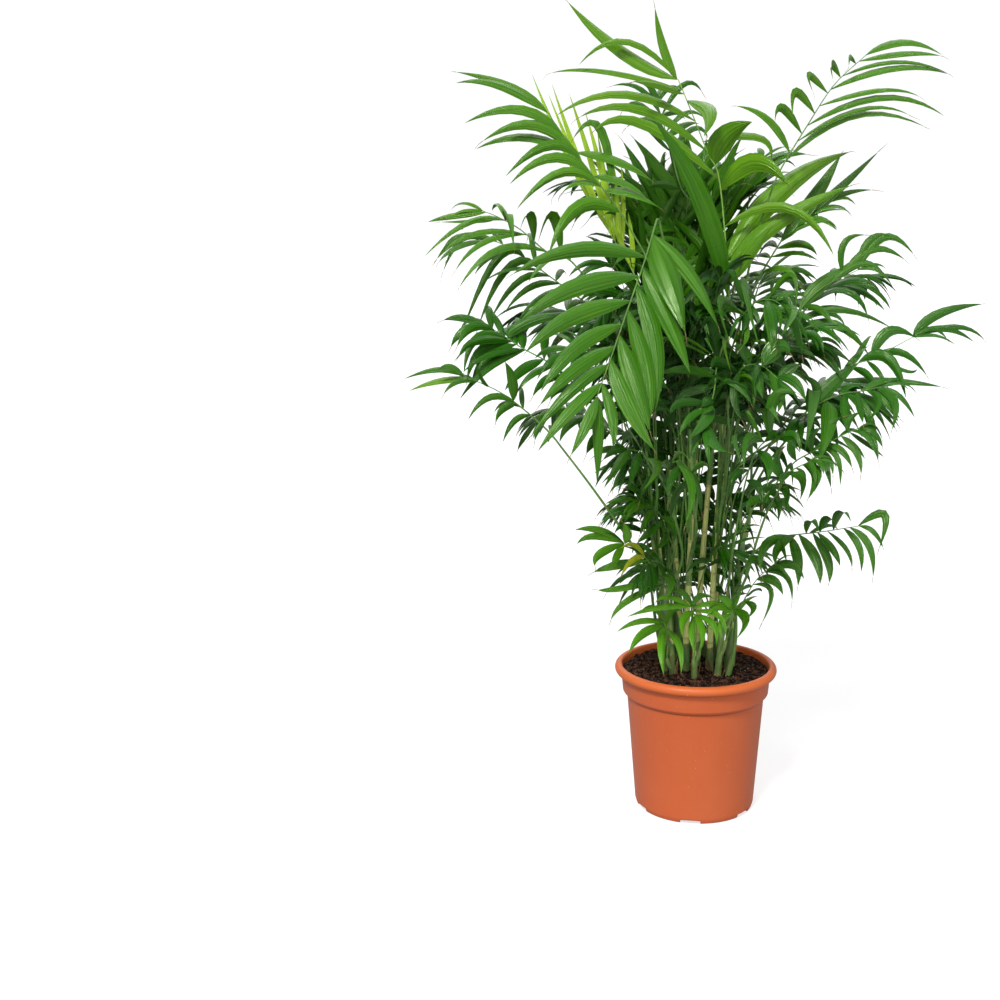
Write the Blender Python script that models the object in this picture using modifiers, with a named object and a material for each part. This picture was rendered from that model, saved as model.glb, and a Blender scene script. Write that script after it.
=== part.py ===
# Parlour palm in a plastic nursery pot, in metres, +Z up.
# The origin is the centre of the pot's flat underside, +X is the plant's right and -Y its front.
# Canes stand on the soil, and each frond is a petiole and a thin blade that leaves the side of a cane.

from itertools import product
from math import cos, pi, radians, sin
from random import Random
from typing import NamedTuple

import bmesh
import bpy
from mathutils import Matrix, Vector
from mathutils.bvhtree import BVHTree

# Pot
POT_HEIGHT = 0.192
POT_STEPS = 40
BEAD_RADIUS = 0.105
BEAD_HEIGHT = 0.012
COLLAR_RADIUS = 0.0965
COLLAR_FOOT_RADIUS = 0.0945
COLLAR_HEIGHT = 0.024
SHOULDER_DROP = 0.005
BODY_TOP_RADIUS = 0.0890
BODY_FOOT_RADIUS = 0.0780
FOOT_RADIUS = 0.0761
FOOT_CHAMFER = 0.006
WALL = 0.0022
FLOOR_THICKNESS = 0.0065
NOTCH_COUNT = 6
NOTCH_WIDTH = 0.026
NOTCH_HEIGHT = 0.005
NOTCH_DEPTH = 0.009
NOTCH_FIRST_HEADING = -93.0

# Soil
SOIL_TOP = 0.178
SOIL_EDGE_DROP = 0.004
SOIL_FLAT_RADIUS = 0.070

# Canes
CANE_SPANS = 6
CANE_BOW = 1.4
CANE_BEVEL_RESOLUTION = 3

# Fronds, and the gap that touching pieces keep
SEAT_GAP = 0.0003
PETIOLE_FOOT_RADIUS = 0.0022
PETIOLE_END_RADIUS = 0.0014
TIP_RADIUS = 0.0006
BLADE_HALF_THICKNESS = 0.0013
BLADE_DROOP = 16.0
PETIOLE_SPANS = 4
BLADE_SHARES = (0.0, 0.10, 0.26, 0.44, 0.62, 0.80, 0.92, 1.0)
BLADE_FULLNESS = 0.7
BLADE_WIDEST = 0.75
UNTWISTED_SHARE = 0.26
SMOOTH_ANGLE = 40.0
FRONT = Vector((0.0, -1.0, 0.0))
LEAST_FRONT = 0.2

# Masses of small inner fronds
MASS_SIDES = 8
MASS_UNEVEN = 0.22
MASS_SEED = 7

# How far a blade may be narrowed, rolled, turned and lifted to lie clear of those already placed,
# and what counts as one whole step of each change
GUARD = 0.0005
NARROWINGS = (1.0, 0.85, 0.7, 0.55)
ROLLS = (0, 12, -12, 24, -24, 36, -36)
TURNS = (0, 3, -3, 6, -6, 9, -9)
LIFTS = (0, 0.02, -0.02, 0.04, -0.04)
NARROWING_STEP = 0.33
ROLL_STEP = 40.0
TURN_STEP = 9.0
LIFT_STEP = 0.04


class Cane(NamedTuple):
    """A stem: its foot on the soil, height above the soil, lean of its top, and end radii."""

    name: str
    foot_x: float
    foot_y: float
    height: float
    lean_x: float
    lean_y: float
    foot_radius: float
    top_radius: float


CANES = (
    Cane("cane_tall_left", -0.013, -0.016, 0.345, 0.013, 0.000, 0.0050, 0.0036),
    Cane("cane_tall_middle", 0.001, 0.008, 0.360, 0.022, 0.006, 0.0050, 0.0036),
    Cane("cane_tall_right", 0.018, -0.006, 0.420, 0.020, 0.008, 0.0050, 0.0034),
    Cane("cane_left", -0.036, 0.003, 0.200, -0.016, 0.002, 0.0046, 0.0034),
    Cane("cane_back_left", -0.020, 0.032, 0.260, -0.016, 0.026, 0.0046, 0.0034),
    Cane("cane_back_right", 0.022, 0.032, 0.250, 0.014, 0.026, 0.0046, 0.0034),
    Cane("cane_right", 0.042, 0.006, 0.200, 0.018, 0.002, 0.0046, 0.0034),
    Cane("cane_front_left", -0.028, -0.030, 0.125, -0.010, -0.010, 0.0042, 0.0032),
    Cane("cane_front_right", 0.028, -0.030, 0.115, 0.010, -0.010, 0.0042, 0.0032),
    Cane("cane_front", -0.001, -0.043, 0.045, 0.000, -0.006, 0.0038, 0.0030),
)


class Frond(NamedTuple):
    """A frond: its cane and the height it leaves at, where its tip goes, and how it arches and spreads.

    heading is the turn of its upright plane in degrees, 0 to the right and 90 to the back. reach and
    tip are how far out and how high the tip lies. crest_out and crest place the arch's pull point, as
    a share of reach and a height. leafed is the share of its length where the blade starts, spread is
    the blade's half width, and facing is how far its upper side turns to the front, as a share.
    """

    name: str
    cane: str
    leaves_at: float
    heading: float
    reach: float
    tip: float
    crest_out: float
    crest: float
    leafed: float
    spread: float
    facing: float = 0.0
    split: bool = False


FRONDS = (
    Frond("frond_crown", "cane_tall_right", 0.50, 171, 0.195, 1.020, -0.13, 0.90, 0.36, 0.090, 0.75),
    Frond("frond_top_left", "cane_tall_left", 0.49, 184, 0.305, 0.945, 0.29, 0.86, 0.42, 0.085, 0.55),
    Frond("frond_spear", "cane_tall_left", 0.46, 164, 0.215, 0.945, 0.35, 0.72, 0.50, 0.022, 0.40),
    Frond("frond_top_right", "cane_tall_right", 0.53, 10, 0.250, 0.940, 0.17, 0.97, 0.45, 0.085, 0.50),
    Frond("frond_hanging", "cane_tall_left", 0.44, 251, 0.330, 0.490, 0.41, 1.04, 0.48, 0.110, split=True),
    Frond(
        "frond_front_middle", "cane_tall_middle", 0.45, -82, 0.250, 0.600, 0.45, 0.88, 0.48, 0.075, split=True
    ),
    Frond("frond_left_upper", "cane_tall_left", 0.43, 169, 0.345, 0.760, 0.46, 0.78, 0.50, 0.065, 0.45),
    Frond("frond_left_behind", "cane_back_left", 0.41, 164, 0.300, 0.700, 0.45, 0.79, 0.50, 0.065, 0.35),
    Frond("frond_left_low", "cane_left", 0.30, 186, 0.330, 0.565, 0.40, 0.62, 0.52, 0.070, 0.35),
    Frond("frond_left_dark", "cane_left", 0.35, 174, 0.270, 0.590, 0.45, 0.70, 0.50, 0.065, 0.40),
    Frond("frond_right_far", "cane_right", 0.33, -8, 0.285, 0.655, 0.26, 0.66, 0.42, 0.065, 0.35),
    Frond("frond_right_upper", "cane_right", 0.36, 15, 0.220, 0.740, 0.30, 0.80, 0.45, 0.070, 0.45),
    Frond("frond_right_middle", "cane_tall_right", 0.42, -18, 0.220, 0.610, 0.35, 0.72, 0.45, 0.065, 0.35),
    Frond("frond_right_low", "cane_right", 0.30, -29, 0.250, 0.500, 0.50, 0.64, 0.48, 0.070, 0.25),
    Frond("frond_right_drooping", "cane_front_right", 0.28, -40, 0.225, 0.440, 0.50, 0.58, 0.48, 0.065, 0.20),
    Frond("frond_right_lowest", "cane_front_right", 0.25, -12, 0.205, 0.375, 0.35, 0.48, 0.42, 0.055, 0.25),
    Frond("frond_foot_right", "cane_front_right", 0.22, -45, 0.100, 0.260, 0.50, 0.38, 0.42, 0.042),
    Frond("frond_left_lowest", "cane_left", 0.26, 204, 0.125, 0.375, 0.50, 0.46, 0.42, 0.048, 0.25),
    Frond("frond_foot_left", "cane_front_left", 0.23, 222, 0.095, 0.265, 0.50, 0.37, 0.42, 0.042),
    Frond("frond_tuft_left", "cane_front_left", 0.20, 205, 0.065, 0.235, 0.45, 0.31, 0.35, 0.030),
    Frond("frond_tuft_front", "cane_front", 0.205, 262, 0.060, 0.212, 0.50, 0.30, 0.35, 0.032),
    Frond("frond_tuft_right", "cane_front", 0.215, -30, 0.065, 0.240, 0.45, 0.31, 0.35, 0.030),
    Frond("frond_front_high", "cane_tall_right", 0.48, -35, 0.200, 0.720, 0.40, 0.88, 0.45, 0.075, 0.20),
    Frond("frond_front_right", "cane_tall_right", 0.40, -58, 0.230, 0.580, 0.45, 0.72, 0.48, 0.070),
    Frond("frond_front_low_right", "cane_front_right", 0.27, -66, 0.215, 0.520, 0.45, 0.67, 0.48, 0.065),
    Frond("frond_front_low", "cane_tall_left", 0.33, -82, 0.220, 0.450, 0.50, 0.60, 0.50, 0.060),
    Frond("frond_front_low_left", "cane_front_left", 0.29, 238, 0.210, 0.450, 0.50, 0.60, 0.48, 0.060),
    Frond("frond_front_left", "cane_left", 0.33, 222, 0.240, 0.500, 0.50, 0.64, 0.50, 0.065, 0.20),
    Frond("frond_back_high_right", "cane_tall_middle", 0.51, 58, 0.220, 0.900, 0.25, 0.97, 0.45, 0.080),
    Frond("frond_back_high", "cane_tall_middle", 0.48, 122, 0.230, 0.920, 0.25, 0.96, 0.45, 0.085),
    Frond("frond_back_high_left", "cane_tall_left", 0.49, 140, 0.250, 0.810, 0.28, 0.86, 0.45, 0.070),
    Frond("frond_back_upper_right", "cane_tall_right", 0.46, 34, 0.270, 0.820, 0.35, 0.90, 0.48, 0.075),
    Frond("frond_back_upper", "cane_back_left", 0.42, 92, 0.270, 0.780, 0.35, 0.86, 0.48, 0.075),
    Frond("frond_back_right", "cane_back_right", 0.40, 42, 0.310, 0.660, 0.42, 0.76, 0.48, 0.070),
    Frond("frond_back_middle", "cane_back_right", 0.41, 74, 0.310, 0.670, 0.42, 0.77, 0.48, 0.075),
    Frond("frond_back_left", "cane_back_left", 0.40, 110, 0.310, 0.640, 0.42, 0.75, 0.48, 0.075),
    Frond("frond_back_far_left", "cane_back_left", 0.38, 138, 0.310, 0.620, 0.42, 0.72, 0.48, 0.070),
    Frond("frond_back_low_right", "cane_back_right", 0.33, 28, 0.250, 0.500, 0.45, 0.63, 0.46, 0.065),
    Frond("frond_back_low_middle", "cane_back_right", 0.34, 90, 0.260, 0.480, 0.45, 0.61, 0.46, 0.065),
    Frond("frond_back_low_left", "cane_back_left", 0.32, 152, 0.250, 0.470, 0.45, 0.60, 0.46, 0.065),
    Frond("frond_back_foot_right", "cane_back_right", 0.26, 60, 0.180, 0.350, 0.45, 0.46, 0.42, 0.055),
    Frond("frond_back_foot_left", "cane_back_left", 0.26, 120, 0.180, 0.340, 0.45, 0.46, 0.42, 0.055),
)


class Mass(NamedTuple):
    """Several small inner fronds in one uneven solid on its own stalk."""

    name: str
    cane: str
    leaves_at: float
    heading: float
    reach: float
    tip: float
    crest_out: float
    crest: float
    leafed: float
    spread: float
    half_thickness: float


MASSES = (
    Mass("fronds_inner_front", "cane_tall_left", 0.39, -100, 0.130, 0.560, 0.45, 0.62, 0.40, 0.045, 0.018),
    Mass("fronds_inner_right", "cane_tall_right", 0.36, -5, 0.140, 0.540, 0.45, 0.58, 0.40, 0.045, 0.018),
    Mass("fronds_inner_back", "cane_back_left", 0.37, 90, 0.130, 0.560, 0.45, 0.60, 0.40, 0.045, 0.018),
    Mass("fronds_inner_left", "cane_left", 0.37, 195, 0.130, 0.520, 0.45, 0.56, 0.40, 0.045, 0.018),
)

# Colour and roughness of each finish
FINISHES = {
    "pot": ((0.61, 0.14, 0.055), 0.45),
    "soil": ((0.020, 0.012, 0.008), 0.95),
    "cane": ((0.42, 0.48, 0.16), 0.50),
    "frond": ((0.04, 0.17, 0.025), 0.40),
    "young_frond": ((0.22, 0.46, 0.06), 0.40),
}
YOUNG_FRONDS = ("frond_spear", "frond_tuft_left", "frond_tuft_front", "frond_tuft_right")


def clear_scene():
    for thing in list(bpy.data.objects):
        bpy.data.objects.remove(thing, do_unlink=True)


def collection(name):
    made = bpy.data.collections.new(name)
    bpy.context.scene.collection.children.link(made)
    return made


def material(name, colour, roughness):
    made = bpy.data.materials.new(name)
    made.use_nodes = True
    shader = made.node_tree.nodes["Principled BSDF"]
    shader.inputs["Base Color"].default_value = (*colour, 1.0)
    shader.inputs["Roughness"].default_value = roughness
    shader.inputs["Metallic"].default_value = 0.0
    return made


def mesh_object(name, points, faces, home, finish):
    mesh = bpy.data.meshes.new(name)
    mesh.from_pydata(points, [], faces)
    mesh.materials.append(finish)
    mesh.shade_smooth()
    mesh.set_sharp_from_angle(angle=radians(SMOOTH_ANGLE))
    made = bpy.data.objects.new(name, mesh)
    home.objects.link(made)
    return made


def turned(name, profile, home, finish):
    """A profile of (radius, height) points, outer side running down, turned about Z."""
    points = [(radius, 0.0, height) for radius, height in profile]
    edges = [(i, i + 1) for i in range(len(points) - 1)]
    mesh = bpy.data.meshes.new(name)
    mesh.from_pydata(points, edges, [])
    mesh.materials.append(finish)
    made = bpy.data.objects.new(name, mesh)
    home.objects.link(made)
    screw = made.modifiers.new("turn", "SCREW")
    screw.axis = "Z"
    screw.steps = POT_STEPS
    screw.render_steps = POT_STEPS
    screw.use_merge_vertices = True
    screw.merge_threshold = 0.0001
    screw.use_smooth_shade = True
    return made


def body_radius(height):
    """The outer radius of the pot's plain tapered body at a height."""
    top = POT_HEIGHT - BEAD_HEIGHT - COLLAR_HEIGHT - SHOULDER_DROP
    share = (height - FOOT_CHAMFER) / (top - FOOT_CHAMFER)
    return BODY_FOOT_RADIUS + (BODY_TOP_RADIUS - BODY_FOOT_RADIUS) * share


def pot_outer_profile():
    """The outside from the rim's top to the foot."""
    collar_top = POT_HEIGHT - BEAD_HEIGHT
    collar_foot = collar_top - COLLAR_HEIGHT
    half_bead = BEAD_HEIGHT / 2
    bead_centre = BEAD_RADIUS - half_bead
    bead = [
        (bead_centre + half_bead * sin(turn), POT_HEIGHT - half_bead + half_bead * cos(turn))
        for turn in (i * pi / 6 for i in range(6))
    ]
    return bead + [
        (COLLAR_RADIUS, collar_top - 0.0005),
        (COLLAR_FOOT_RADIUS, collar_foot),
        (BODY_TOP_RADIUS, collar_foot - SHOULDER_DROP),
        (BODY_FOOT_RADIUS, FOOT_CHAMFER),
        (FOOT_RADIUS, 0.0),
    ]


def pot_inner_profile():
    """The inside from the middle of the floor up to the rim."""
    collar_foot = POT_HEIGHT - BEAD_HEIGHT - COLLAR_HEIGHT
    return [
        (0.0, FLOOR_THICKNESS),
        (body_radius(FLOOR_THICKNESS) - WALL, FLOOR_THICKNESS),
        (BODY_TOP_RADIUS - WALL, collar_foot - SHOULDER_DROP),
        (COLLAR_FOOT_RADIUS - WALL, collar_foot),
        (COLLAR_RADIUS - WALL, POT_HEIGHT - BEAD_HEIGHT),
    ]


def make_pot(home, cutters, finish):
    pot = turned("pot", pot_inner_profile() + pot_outer_profile() + [(0.0, 0.0)], home, finish)
    for index in range(NOTCH_COUNT):
        heading = radians(NOTCH_FIRST_HEADING + 360 / NOTCH_COUNT * index)
        cutter_mesh = bpy.data.meshes.new(f"notch_cutter_{index}")
        cube = bmesh.new()
        bmesh.ops.create_cube(cube, size=1.0)
        size = Matrix.Diagonal((2 * NOTCH_DEPTH, NOTCH_WIDTH, 2 * NOTCH_HEIGHT, 1.0))
        bmesh.ops.transform(cube, matrix=size, verts=cube.verts)
        cube.to_mesh(cutter_mesh)
        cube.free()
        cutter = bpy.data.objects.new(cutter_mesh.name, cutter_mesh)
        cutter.location = (FOOT_RADIUS * cos(heading), FOOT_RADIUS * sin(heading), 0.0)
        cutter.rotation_euler.z = heading
        cutter.hide_render = True
        cutter.display_type = "WIRE"
        cutters.objects.link(cutter)
        notch = pot.modifiers.new(f"notch_{index}", "BOOLEAN")
        notch.operation = "DIFFERENCE"
        notch.object = cutter
    return pot


def make_soil(home, finish):
    """The soil fills the pot's inside, a seat gap away from its wall and floor."""
    collar_foot = POT_HEIGHT - BEAD_HEIGHT - COLLAR_HEIGHT
    floor = FLOOR_THICKNESS + SEAT_GAP
    gap = WALL + SEAT_GAP
    edge = SOIL_TOP - SOIL_EDGE_DROP
    share = (edge - collar_foot) / COLLAR_HEIGHT
    edge_radius = COLLAR_FOOT_RADIUS + (COLLAR_RADIUS - COLLAR_FOOT_RADIUS) * share
    profile = [
        (0.0, SOIL_TOP),
        (SOIL_FLAT_RADIUS, SOIL_TOP),
        (edge_radius - gap, edge),
        (COLLAR_FOOT_RADIUS - gap, collar_foot),
        (BODY_TOP_RADIUS - gap, collar_foot - SHOULDER_DROP),
        (body_radius(floor) - gap, floor),
        (0.0, floor),
    ]
    return turned("soil", profile, home, finish)


def cane_at(cane, height):
    """The centre of a cane at a height above the ground, and its radius there."""
    share = min(max((height - SOIL_TOP) / cane.height, 0.0), 1.0)
    bow = share**CANE_BOW
    centre = Vector((cane.foot_x + cane.lean_x * bow, cane.foot_y + cane.lean_y * bow, height))
    return centre, cane.foot_radius + (cane.top_radius - cane.foot_radius) * share


def make_cane(cane, home, finish):
    curve = bpy.data.curves.new(cane.name, "CURVE")
    curve.dimensions = "3D"
    curve.bevel_depth = 1.0
    curve.bevel_resolution = CANE_BEVEL_RESOLUTION
    curve.use_fill_caps = True
    spline = curve.splines.new("POLY")
    spline.points.add(CANE_SPANS)
    for index, point in enumerate(spline.points):
        foot = SOIL_TOP + SEAT_GAP
        height = foot + (cane.height - SEAT_GAP) * index / CANE_SPANS
        centre, radius = cane_at(cane, height)
        point.co = (*centre, 1.0)
        point.radius = radius
    spline.use_smooth = True
    curve.materials.append(finish)
    made = bpy.data.objects.new(cane.name, curve)
    home.objects.link(made)
    return made


def curve_points(leaf, turn, lift):
    """Start, pull point and tip of a frond's arch, with its start on the side of its cane."""
    cane = next(c for c in CANES if c.name == leaf.cane)
    heading = radians(leaf.heading + turn)
    out = Vector((cos(heading), sin(heading), 0.0))
    centre, cane_radius = cane_at(cane, leaf.leaves_at)
    pull = centre + out * leaf.reach * leaf.crest_out
    pull.z = leaf.crest + lift
    climb = (pull - centre).normalized()
    lean_back = PETIOLE_FOOT_RADIUS * climb.z
    start = centre + out * (cane_radius + SEAT_GAP + lean_back)
    pull += out * (cane_radius + SEAT_GAP + lean_back)
    tip = centre + out * leaf.reach
    tip.z = leaf.tip + lift
    return start, pull, tip, Vector((-sin(heading), cos(heading), 0.0))


def arch(start, pull, tip, share):
    """Point and direction on a frond's arch."""
    rest = 1.0 - share
    point = start * rest**2 + pull * 2 * rest * share + tip * share**2
    direction = (pull - start) * 2 * rest + (tip - pull) * 2 * share
    return point, direction.normalized()


def blade_width(share):
    """The blade's half width as a share of its spread, from its first leaflets to its tip."""
    return sin(pi * min(max(share, 0.0), 1.0) ** BLADE_WIDEST) ** BLADE_FULLNESS


def section_axes(direction, side, facing, roll):
    """The side and upper directions of a section, its upper side turned to the front by a share."""
    side = (side - direction * side.dot(direction)).normalized()
    up = direction.cross(side)
    if up.z < 0:
        up = -up
    front = FRONT - direction * FRONT.dot(direction)
    angle = 0.0
    if facing and front.length > LEAST_FRONT:
        angle = facing * up.angle(front)
        if direction.dot(up.cross(front)) < 0:
            angle = -angle
    turn = Matrix.Rotation(angle + radians(roll), 3, direction)
    return turn @ side, turn @ up


def ring(point, axes, half_width, half_thickness, droop):
    """Four corners of a frond's section: two edges, and its upper and lower middle."""
    side, up = axes
    drop = half_width * sin(radians(droop))
    across = half_width * cos(radians(droop))
    return (
        point + side * across - up * drop,
        point + up * half_thickness,
        point - side * across - up * drop,
        point - up * half_thickness,
    )


def loft(rings):
    """One closed mesh through rings of equal length, with flat ends."""
    count = len(rings[0])
    points = [corner for one in rings for corner in one]
    faces = []
    for row in range(len(rings) - 1):
        for corner in range(count):
            following = (corner + 1) % count
            low = row * count
            faces.append((low + corner, low + following, low + count + following, low + count + corner))
    faces.append(tuple(reversed(range(count))))
    last = (len(rings) - 1) * count
    faces.append(tuple(last + corner for corner in range(count)))
    shape = bmesh.new()
    for point in points:
        shape.verts.new(point)
    shape.verts.ensure_lookup_table()
    for face in faces:
        shape.faces.new([shape.verts[i] for i in face])
    bmesh.ops.triangulate(shape, faces=shape.faces)
    bmesh.ops.recalc_face_normals(shape, faces=shape.faces)
    corners = [vert.co.copy() for vert in shape.verts]
    triangles = [tuple(vert.index for vert in face.verts) for face in shape.faces]
    shape.free()
    return corners, triangles


def petiole_rings(frond, turn, lift, last, grow):
    start, pull, tip, side = curve_points(frond, turn, lift)
    rings = []
    for index in range(PETIOLE_SPANS + 1):
        share = last * index / PETIOLE_SPANS
        taper = PETIOLE_END_RADIUS - PETIOLE_FOOT_RADIUS
        radius = PETIOLE_FOOT_RADIUS + taper * index / PETIOLE_SPANS + grow
        point, direction = arch(start, pull, tip, share)
        rings.append(ring(point, section_axes(direction, side, 0.0, 0.0), radius, radius, 0.0))
    return rings


def blade_rings(frond, turn, lift, roll, narrowing, first, grow):
    start, pull, tip, side = curve_points(frond, turn, lift)
    rings = []
    for share in BLADE_SHARES[first:]:
        point, direction = arch(start, pull, tip, frond.leafed + (1 - frond.leafed) * share)
        width = max(frond.spread * narrowing * blade_width(share), TIP_RADIUS) + grow
        half = BLADE_HALF_THICKNESS + (TIP_RADIUS - BLADE_HALF_THICKNESS) * share + grow
        twisted = min(share / UNTWISTED_SHARE, 1.0)
        axes = section_axes(direction, side, frond.facing * twisted, roll * twisted)
        rings.append(ring(point, axes, width, half, BLADE_DROOP))
    return rings


def frond_shapes(frond, turn, lift, roll, narrowing, grow=0.0):
    """The meshes of a frond: one for petiole and blade, or one for each where it is split at its bend."""
    if not frond.split:
        petiole = petiole_rings(frond, turn, lift, frond.leafed, grow)
        return [loft(petiole + blade_rings(frond, turn, lift, roll, narrowing, 1, grow))]
    arch_length = frond.reach + abs(frond.crest - frond.leaves_at)
    petiole = petiole_rings(frond, turn, lift, frond.leafed - SEAT_GAP / arch_length, grow)
    blade = blade_rings(frond, turn, lift, roll, narrowing, 0, grow)
    return [loft(petiole), loft(blade)]


def mass_shapes(mass, turn, lift, roll, narrowing, grow=0.0):
    """A stalk that swells into an uneven rounded body."""
    start, pull, tip, side = curve_points(mass, turn, lift)
    draws = Random(MASS_SEED + MASSES.index(mass))
    rings = []
    shares = [mass.leafed * i / PETIOLE_SPANS for i in range(PETIOLE_SPANS + 1)]
    shares += [mass.leafed + (1 - mass.leafed) * share for share in BLADE_SHARES[1:]]
    for index, share in enumerate(shares):
        point, direction = arch(start, pull, tip, share)
        swell = blade_width((share - mass.leafed) / (1 - mass.leafed)) if share > mass.leafed else 0.0
        across, up = section_axes(direction, side, 0.0, roll)
        corners = []
        for corner in range(MASS_SIDES):
            angle = 2 * pi * corner / MASS_SIDES
            uneven = 1 + MASS_UNEVEN * draws.uniform(-1, 1)
            stalk = PETIOLE_FOOT_RADIUS if index < PETIOLE_SPANS else PETIOLE_END_RADIUS
            wide = max(mass.spread * narrowing * swell * uneven, stalk) + grow
            deep = max(mass.half_thickness * narrowing * swell * uneven, stalk) + grow
            corners.append(point + across * wide * cos(angle) + up * deep * sin(angle))
        rings.append(corners)
    return [loft(rings)]


def evaluated_shape(thing):
    graph = bpy.context.evaluated_depsgraph_get()
    mesh = thing.evaluated_get(graph).to_mesh()
    points = [thing.matrix_world @ vert.co for vert in mesh.vertices]
    faces = [tuple(polygon.vertices) for polygon in mesh.polygons]
    thing.evaluated_get(graph).to_mesh_clear()
    return points, faces


def settings_by_change():
    """Each way to turn, lift, roll and narrow a blade, the least change first."""
    found = []
    for turn, lift, roll, narrowing in product(TURNS, LIFTS, ROLLS, NARROWINGS):
        change = (1 - narrowing) / NARROWING_STEP + abs(roll) / ROLL_STEP
        change += abs(turn) / TURN_STEP + abs(lift) / LIFT_STEP
        found.append((round(change, 4), (turn, lift, roll, narrowing)))
    found.sort(key=lambda entry: entry[0])
    return [setting for _, setting in found]


def is_clear(leaf, setting, shapes_of, placed):
    """Whether a leaf meets nothing placed, with a guard round it except at the cane that it sits on."""
    grown = [BVHTree.FromPolygons(*shape) for shape in shapes_of(leaf, *setting, GUARD)]
    exact = [BVHTree.FromPolygons(*shape) for shape in shapes_of(leaf, *setting)]
    for name, tree in placed.items():
        tested = exact if name == leaf.cane else grown
        if any(one.overlap(tree) for one in tested):
            return False
    return True


def place_clear(leaf, shapes_of, placed, settings):
    """The shapes of a leaf in the first setting that is clear."""
    for setting in settings:
        if is_clear(leaf, setting, shapes_of, placed):
            return shapes_of(leaf, *setting)
    raise ValueError(f"{leaf.name} meets its neighbours in every setting")


def main():
    clear_scene()
    home = collection("parlour palm")
    cutters = collection("cutters")
    finishes = {name: material(name, *finish) for name, finish in FINISHES.items()}
    make_pot(home, cutters, finishes["pot"])
    soil = make_soil(home, finishes["soil"])
    canes = [make_cane(cane, home, finishes["cane"]) for cane in CANES]
    bpy.context.view_layer.update()
    placed = {thing.name: BVHTree.FromPolygons(*evaluated_shape(thing)) for thing in [soil, *canes]}
    settings = settings_by_change()
    for leaves, shapes_of in ((FRONDS, frond_shapes), (MASSES, mass_shapes)):
        for leaf in leaves:
            finish = finishes["young_frond" if leaf.name in YOUNG_FRONDS else "frond"]
            shapes = place_clear(leaf, shapes_of, placed, settings)
            names = [leaf.name] if len(shapes) == 1 else [f"{leaf.name}_petiole", f"{leaf.name}_blade"]
            for name, shape in zip(names, shapes):
                mesh_object(name, *shape, home, finish)
                placed[name] = BVHTree.FromPolygons(*shape)


main()
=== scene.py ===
from itertools import product
from math import cos, hypot, pi, radians, sin
from random import Random
from typing import NamedTuple

import bmesh
import bpy
import numpy as np
from bpy.props import FloatProperty, FloatVectorProperty, IntProperty, PointerProperty
from bpy.types import Operator, Panel, PropertyGroup
from mathutils import Matrix, Vector, noise


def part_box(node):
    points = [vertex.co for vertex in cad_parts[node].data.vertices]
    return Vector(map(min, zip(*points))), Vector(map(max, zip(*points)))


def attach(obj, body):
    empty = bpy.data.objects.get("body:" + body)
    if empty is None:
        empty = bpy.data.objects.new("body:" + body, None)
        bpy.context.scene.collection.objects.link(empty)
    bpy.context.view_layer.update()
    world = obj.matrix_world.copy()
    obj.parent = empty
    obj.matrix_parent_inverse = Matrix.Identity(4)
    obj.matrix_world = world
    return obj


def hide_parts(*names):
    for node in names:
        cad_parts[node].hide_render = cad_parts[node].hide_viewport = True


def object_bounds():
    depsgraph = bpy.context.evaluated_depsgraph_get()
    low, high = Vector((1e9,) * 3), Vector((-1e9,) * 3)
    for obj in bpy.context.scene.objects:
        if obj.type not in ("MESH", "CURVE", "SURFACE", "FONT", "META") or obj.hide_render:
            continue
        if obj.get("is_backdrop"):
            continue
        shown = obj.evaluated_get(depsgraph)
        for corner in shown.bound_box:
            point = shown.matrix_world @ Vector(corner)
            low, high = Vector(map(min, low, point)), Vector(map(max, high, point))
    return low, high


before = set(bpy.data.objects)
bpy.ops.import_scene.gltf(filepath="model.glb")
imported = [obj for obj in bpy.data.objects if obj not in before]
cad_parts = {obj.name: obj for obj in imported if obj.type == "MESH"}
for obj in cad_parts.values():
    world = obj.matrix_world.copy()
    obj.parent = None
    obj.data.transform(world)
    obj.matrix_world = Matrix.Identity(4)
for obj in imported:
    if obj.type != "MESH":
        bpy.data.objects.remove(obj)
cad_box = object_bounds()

bl_info = {
    "name": "Parlour palm",
    "version": (1, 0, 0),
    "blender": (4, 5, 0),
    "location": "3D View > Sidebar > Palm",
    "description": "A parlour palm in a plastic nursery pot, built round its packed model",
    "category": "Add Mesh",
}

# Everything is in metres, +Z up. The origin is the centre of the pot's underside, -Y is the front.
BODY = "root"
FRONT = Vector((0.0, -1.0, 0.0))
UP = Vector((0.0, 0.0, 1.0))

# Camera of the photograph, a square picture of 1000 pixels
CAMERA_PLACE = Vector((0.0, -1.70, 0.7506))
CAMERA_YAW = radians(8.5488)
CAMERA_PITCH = radians(11.3222)
CAMERA_ROLL = radians(-0.979)
CAMERA_FOCAL = 1338.85
PICTURE_SIDE = 1000.0
SENSOR = 36.0

# Turns of the lights, in degrees, and the angle that the weak ones span; the floor and what shows behind it
KEY_TURN = (40, -9, -8)
FILL_TURN = (68, 0, 16)
BACK_TURN = (-48, 10, 20)
FILL_ANGLE = radians(50)
FLOOR_DROP = 0.0004
FLOOR_RADIUS = 40.0
FLOOR_STEPS = 96
BACKGROUND_SHOWN = 1.05

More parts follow.
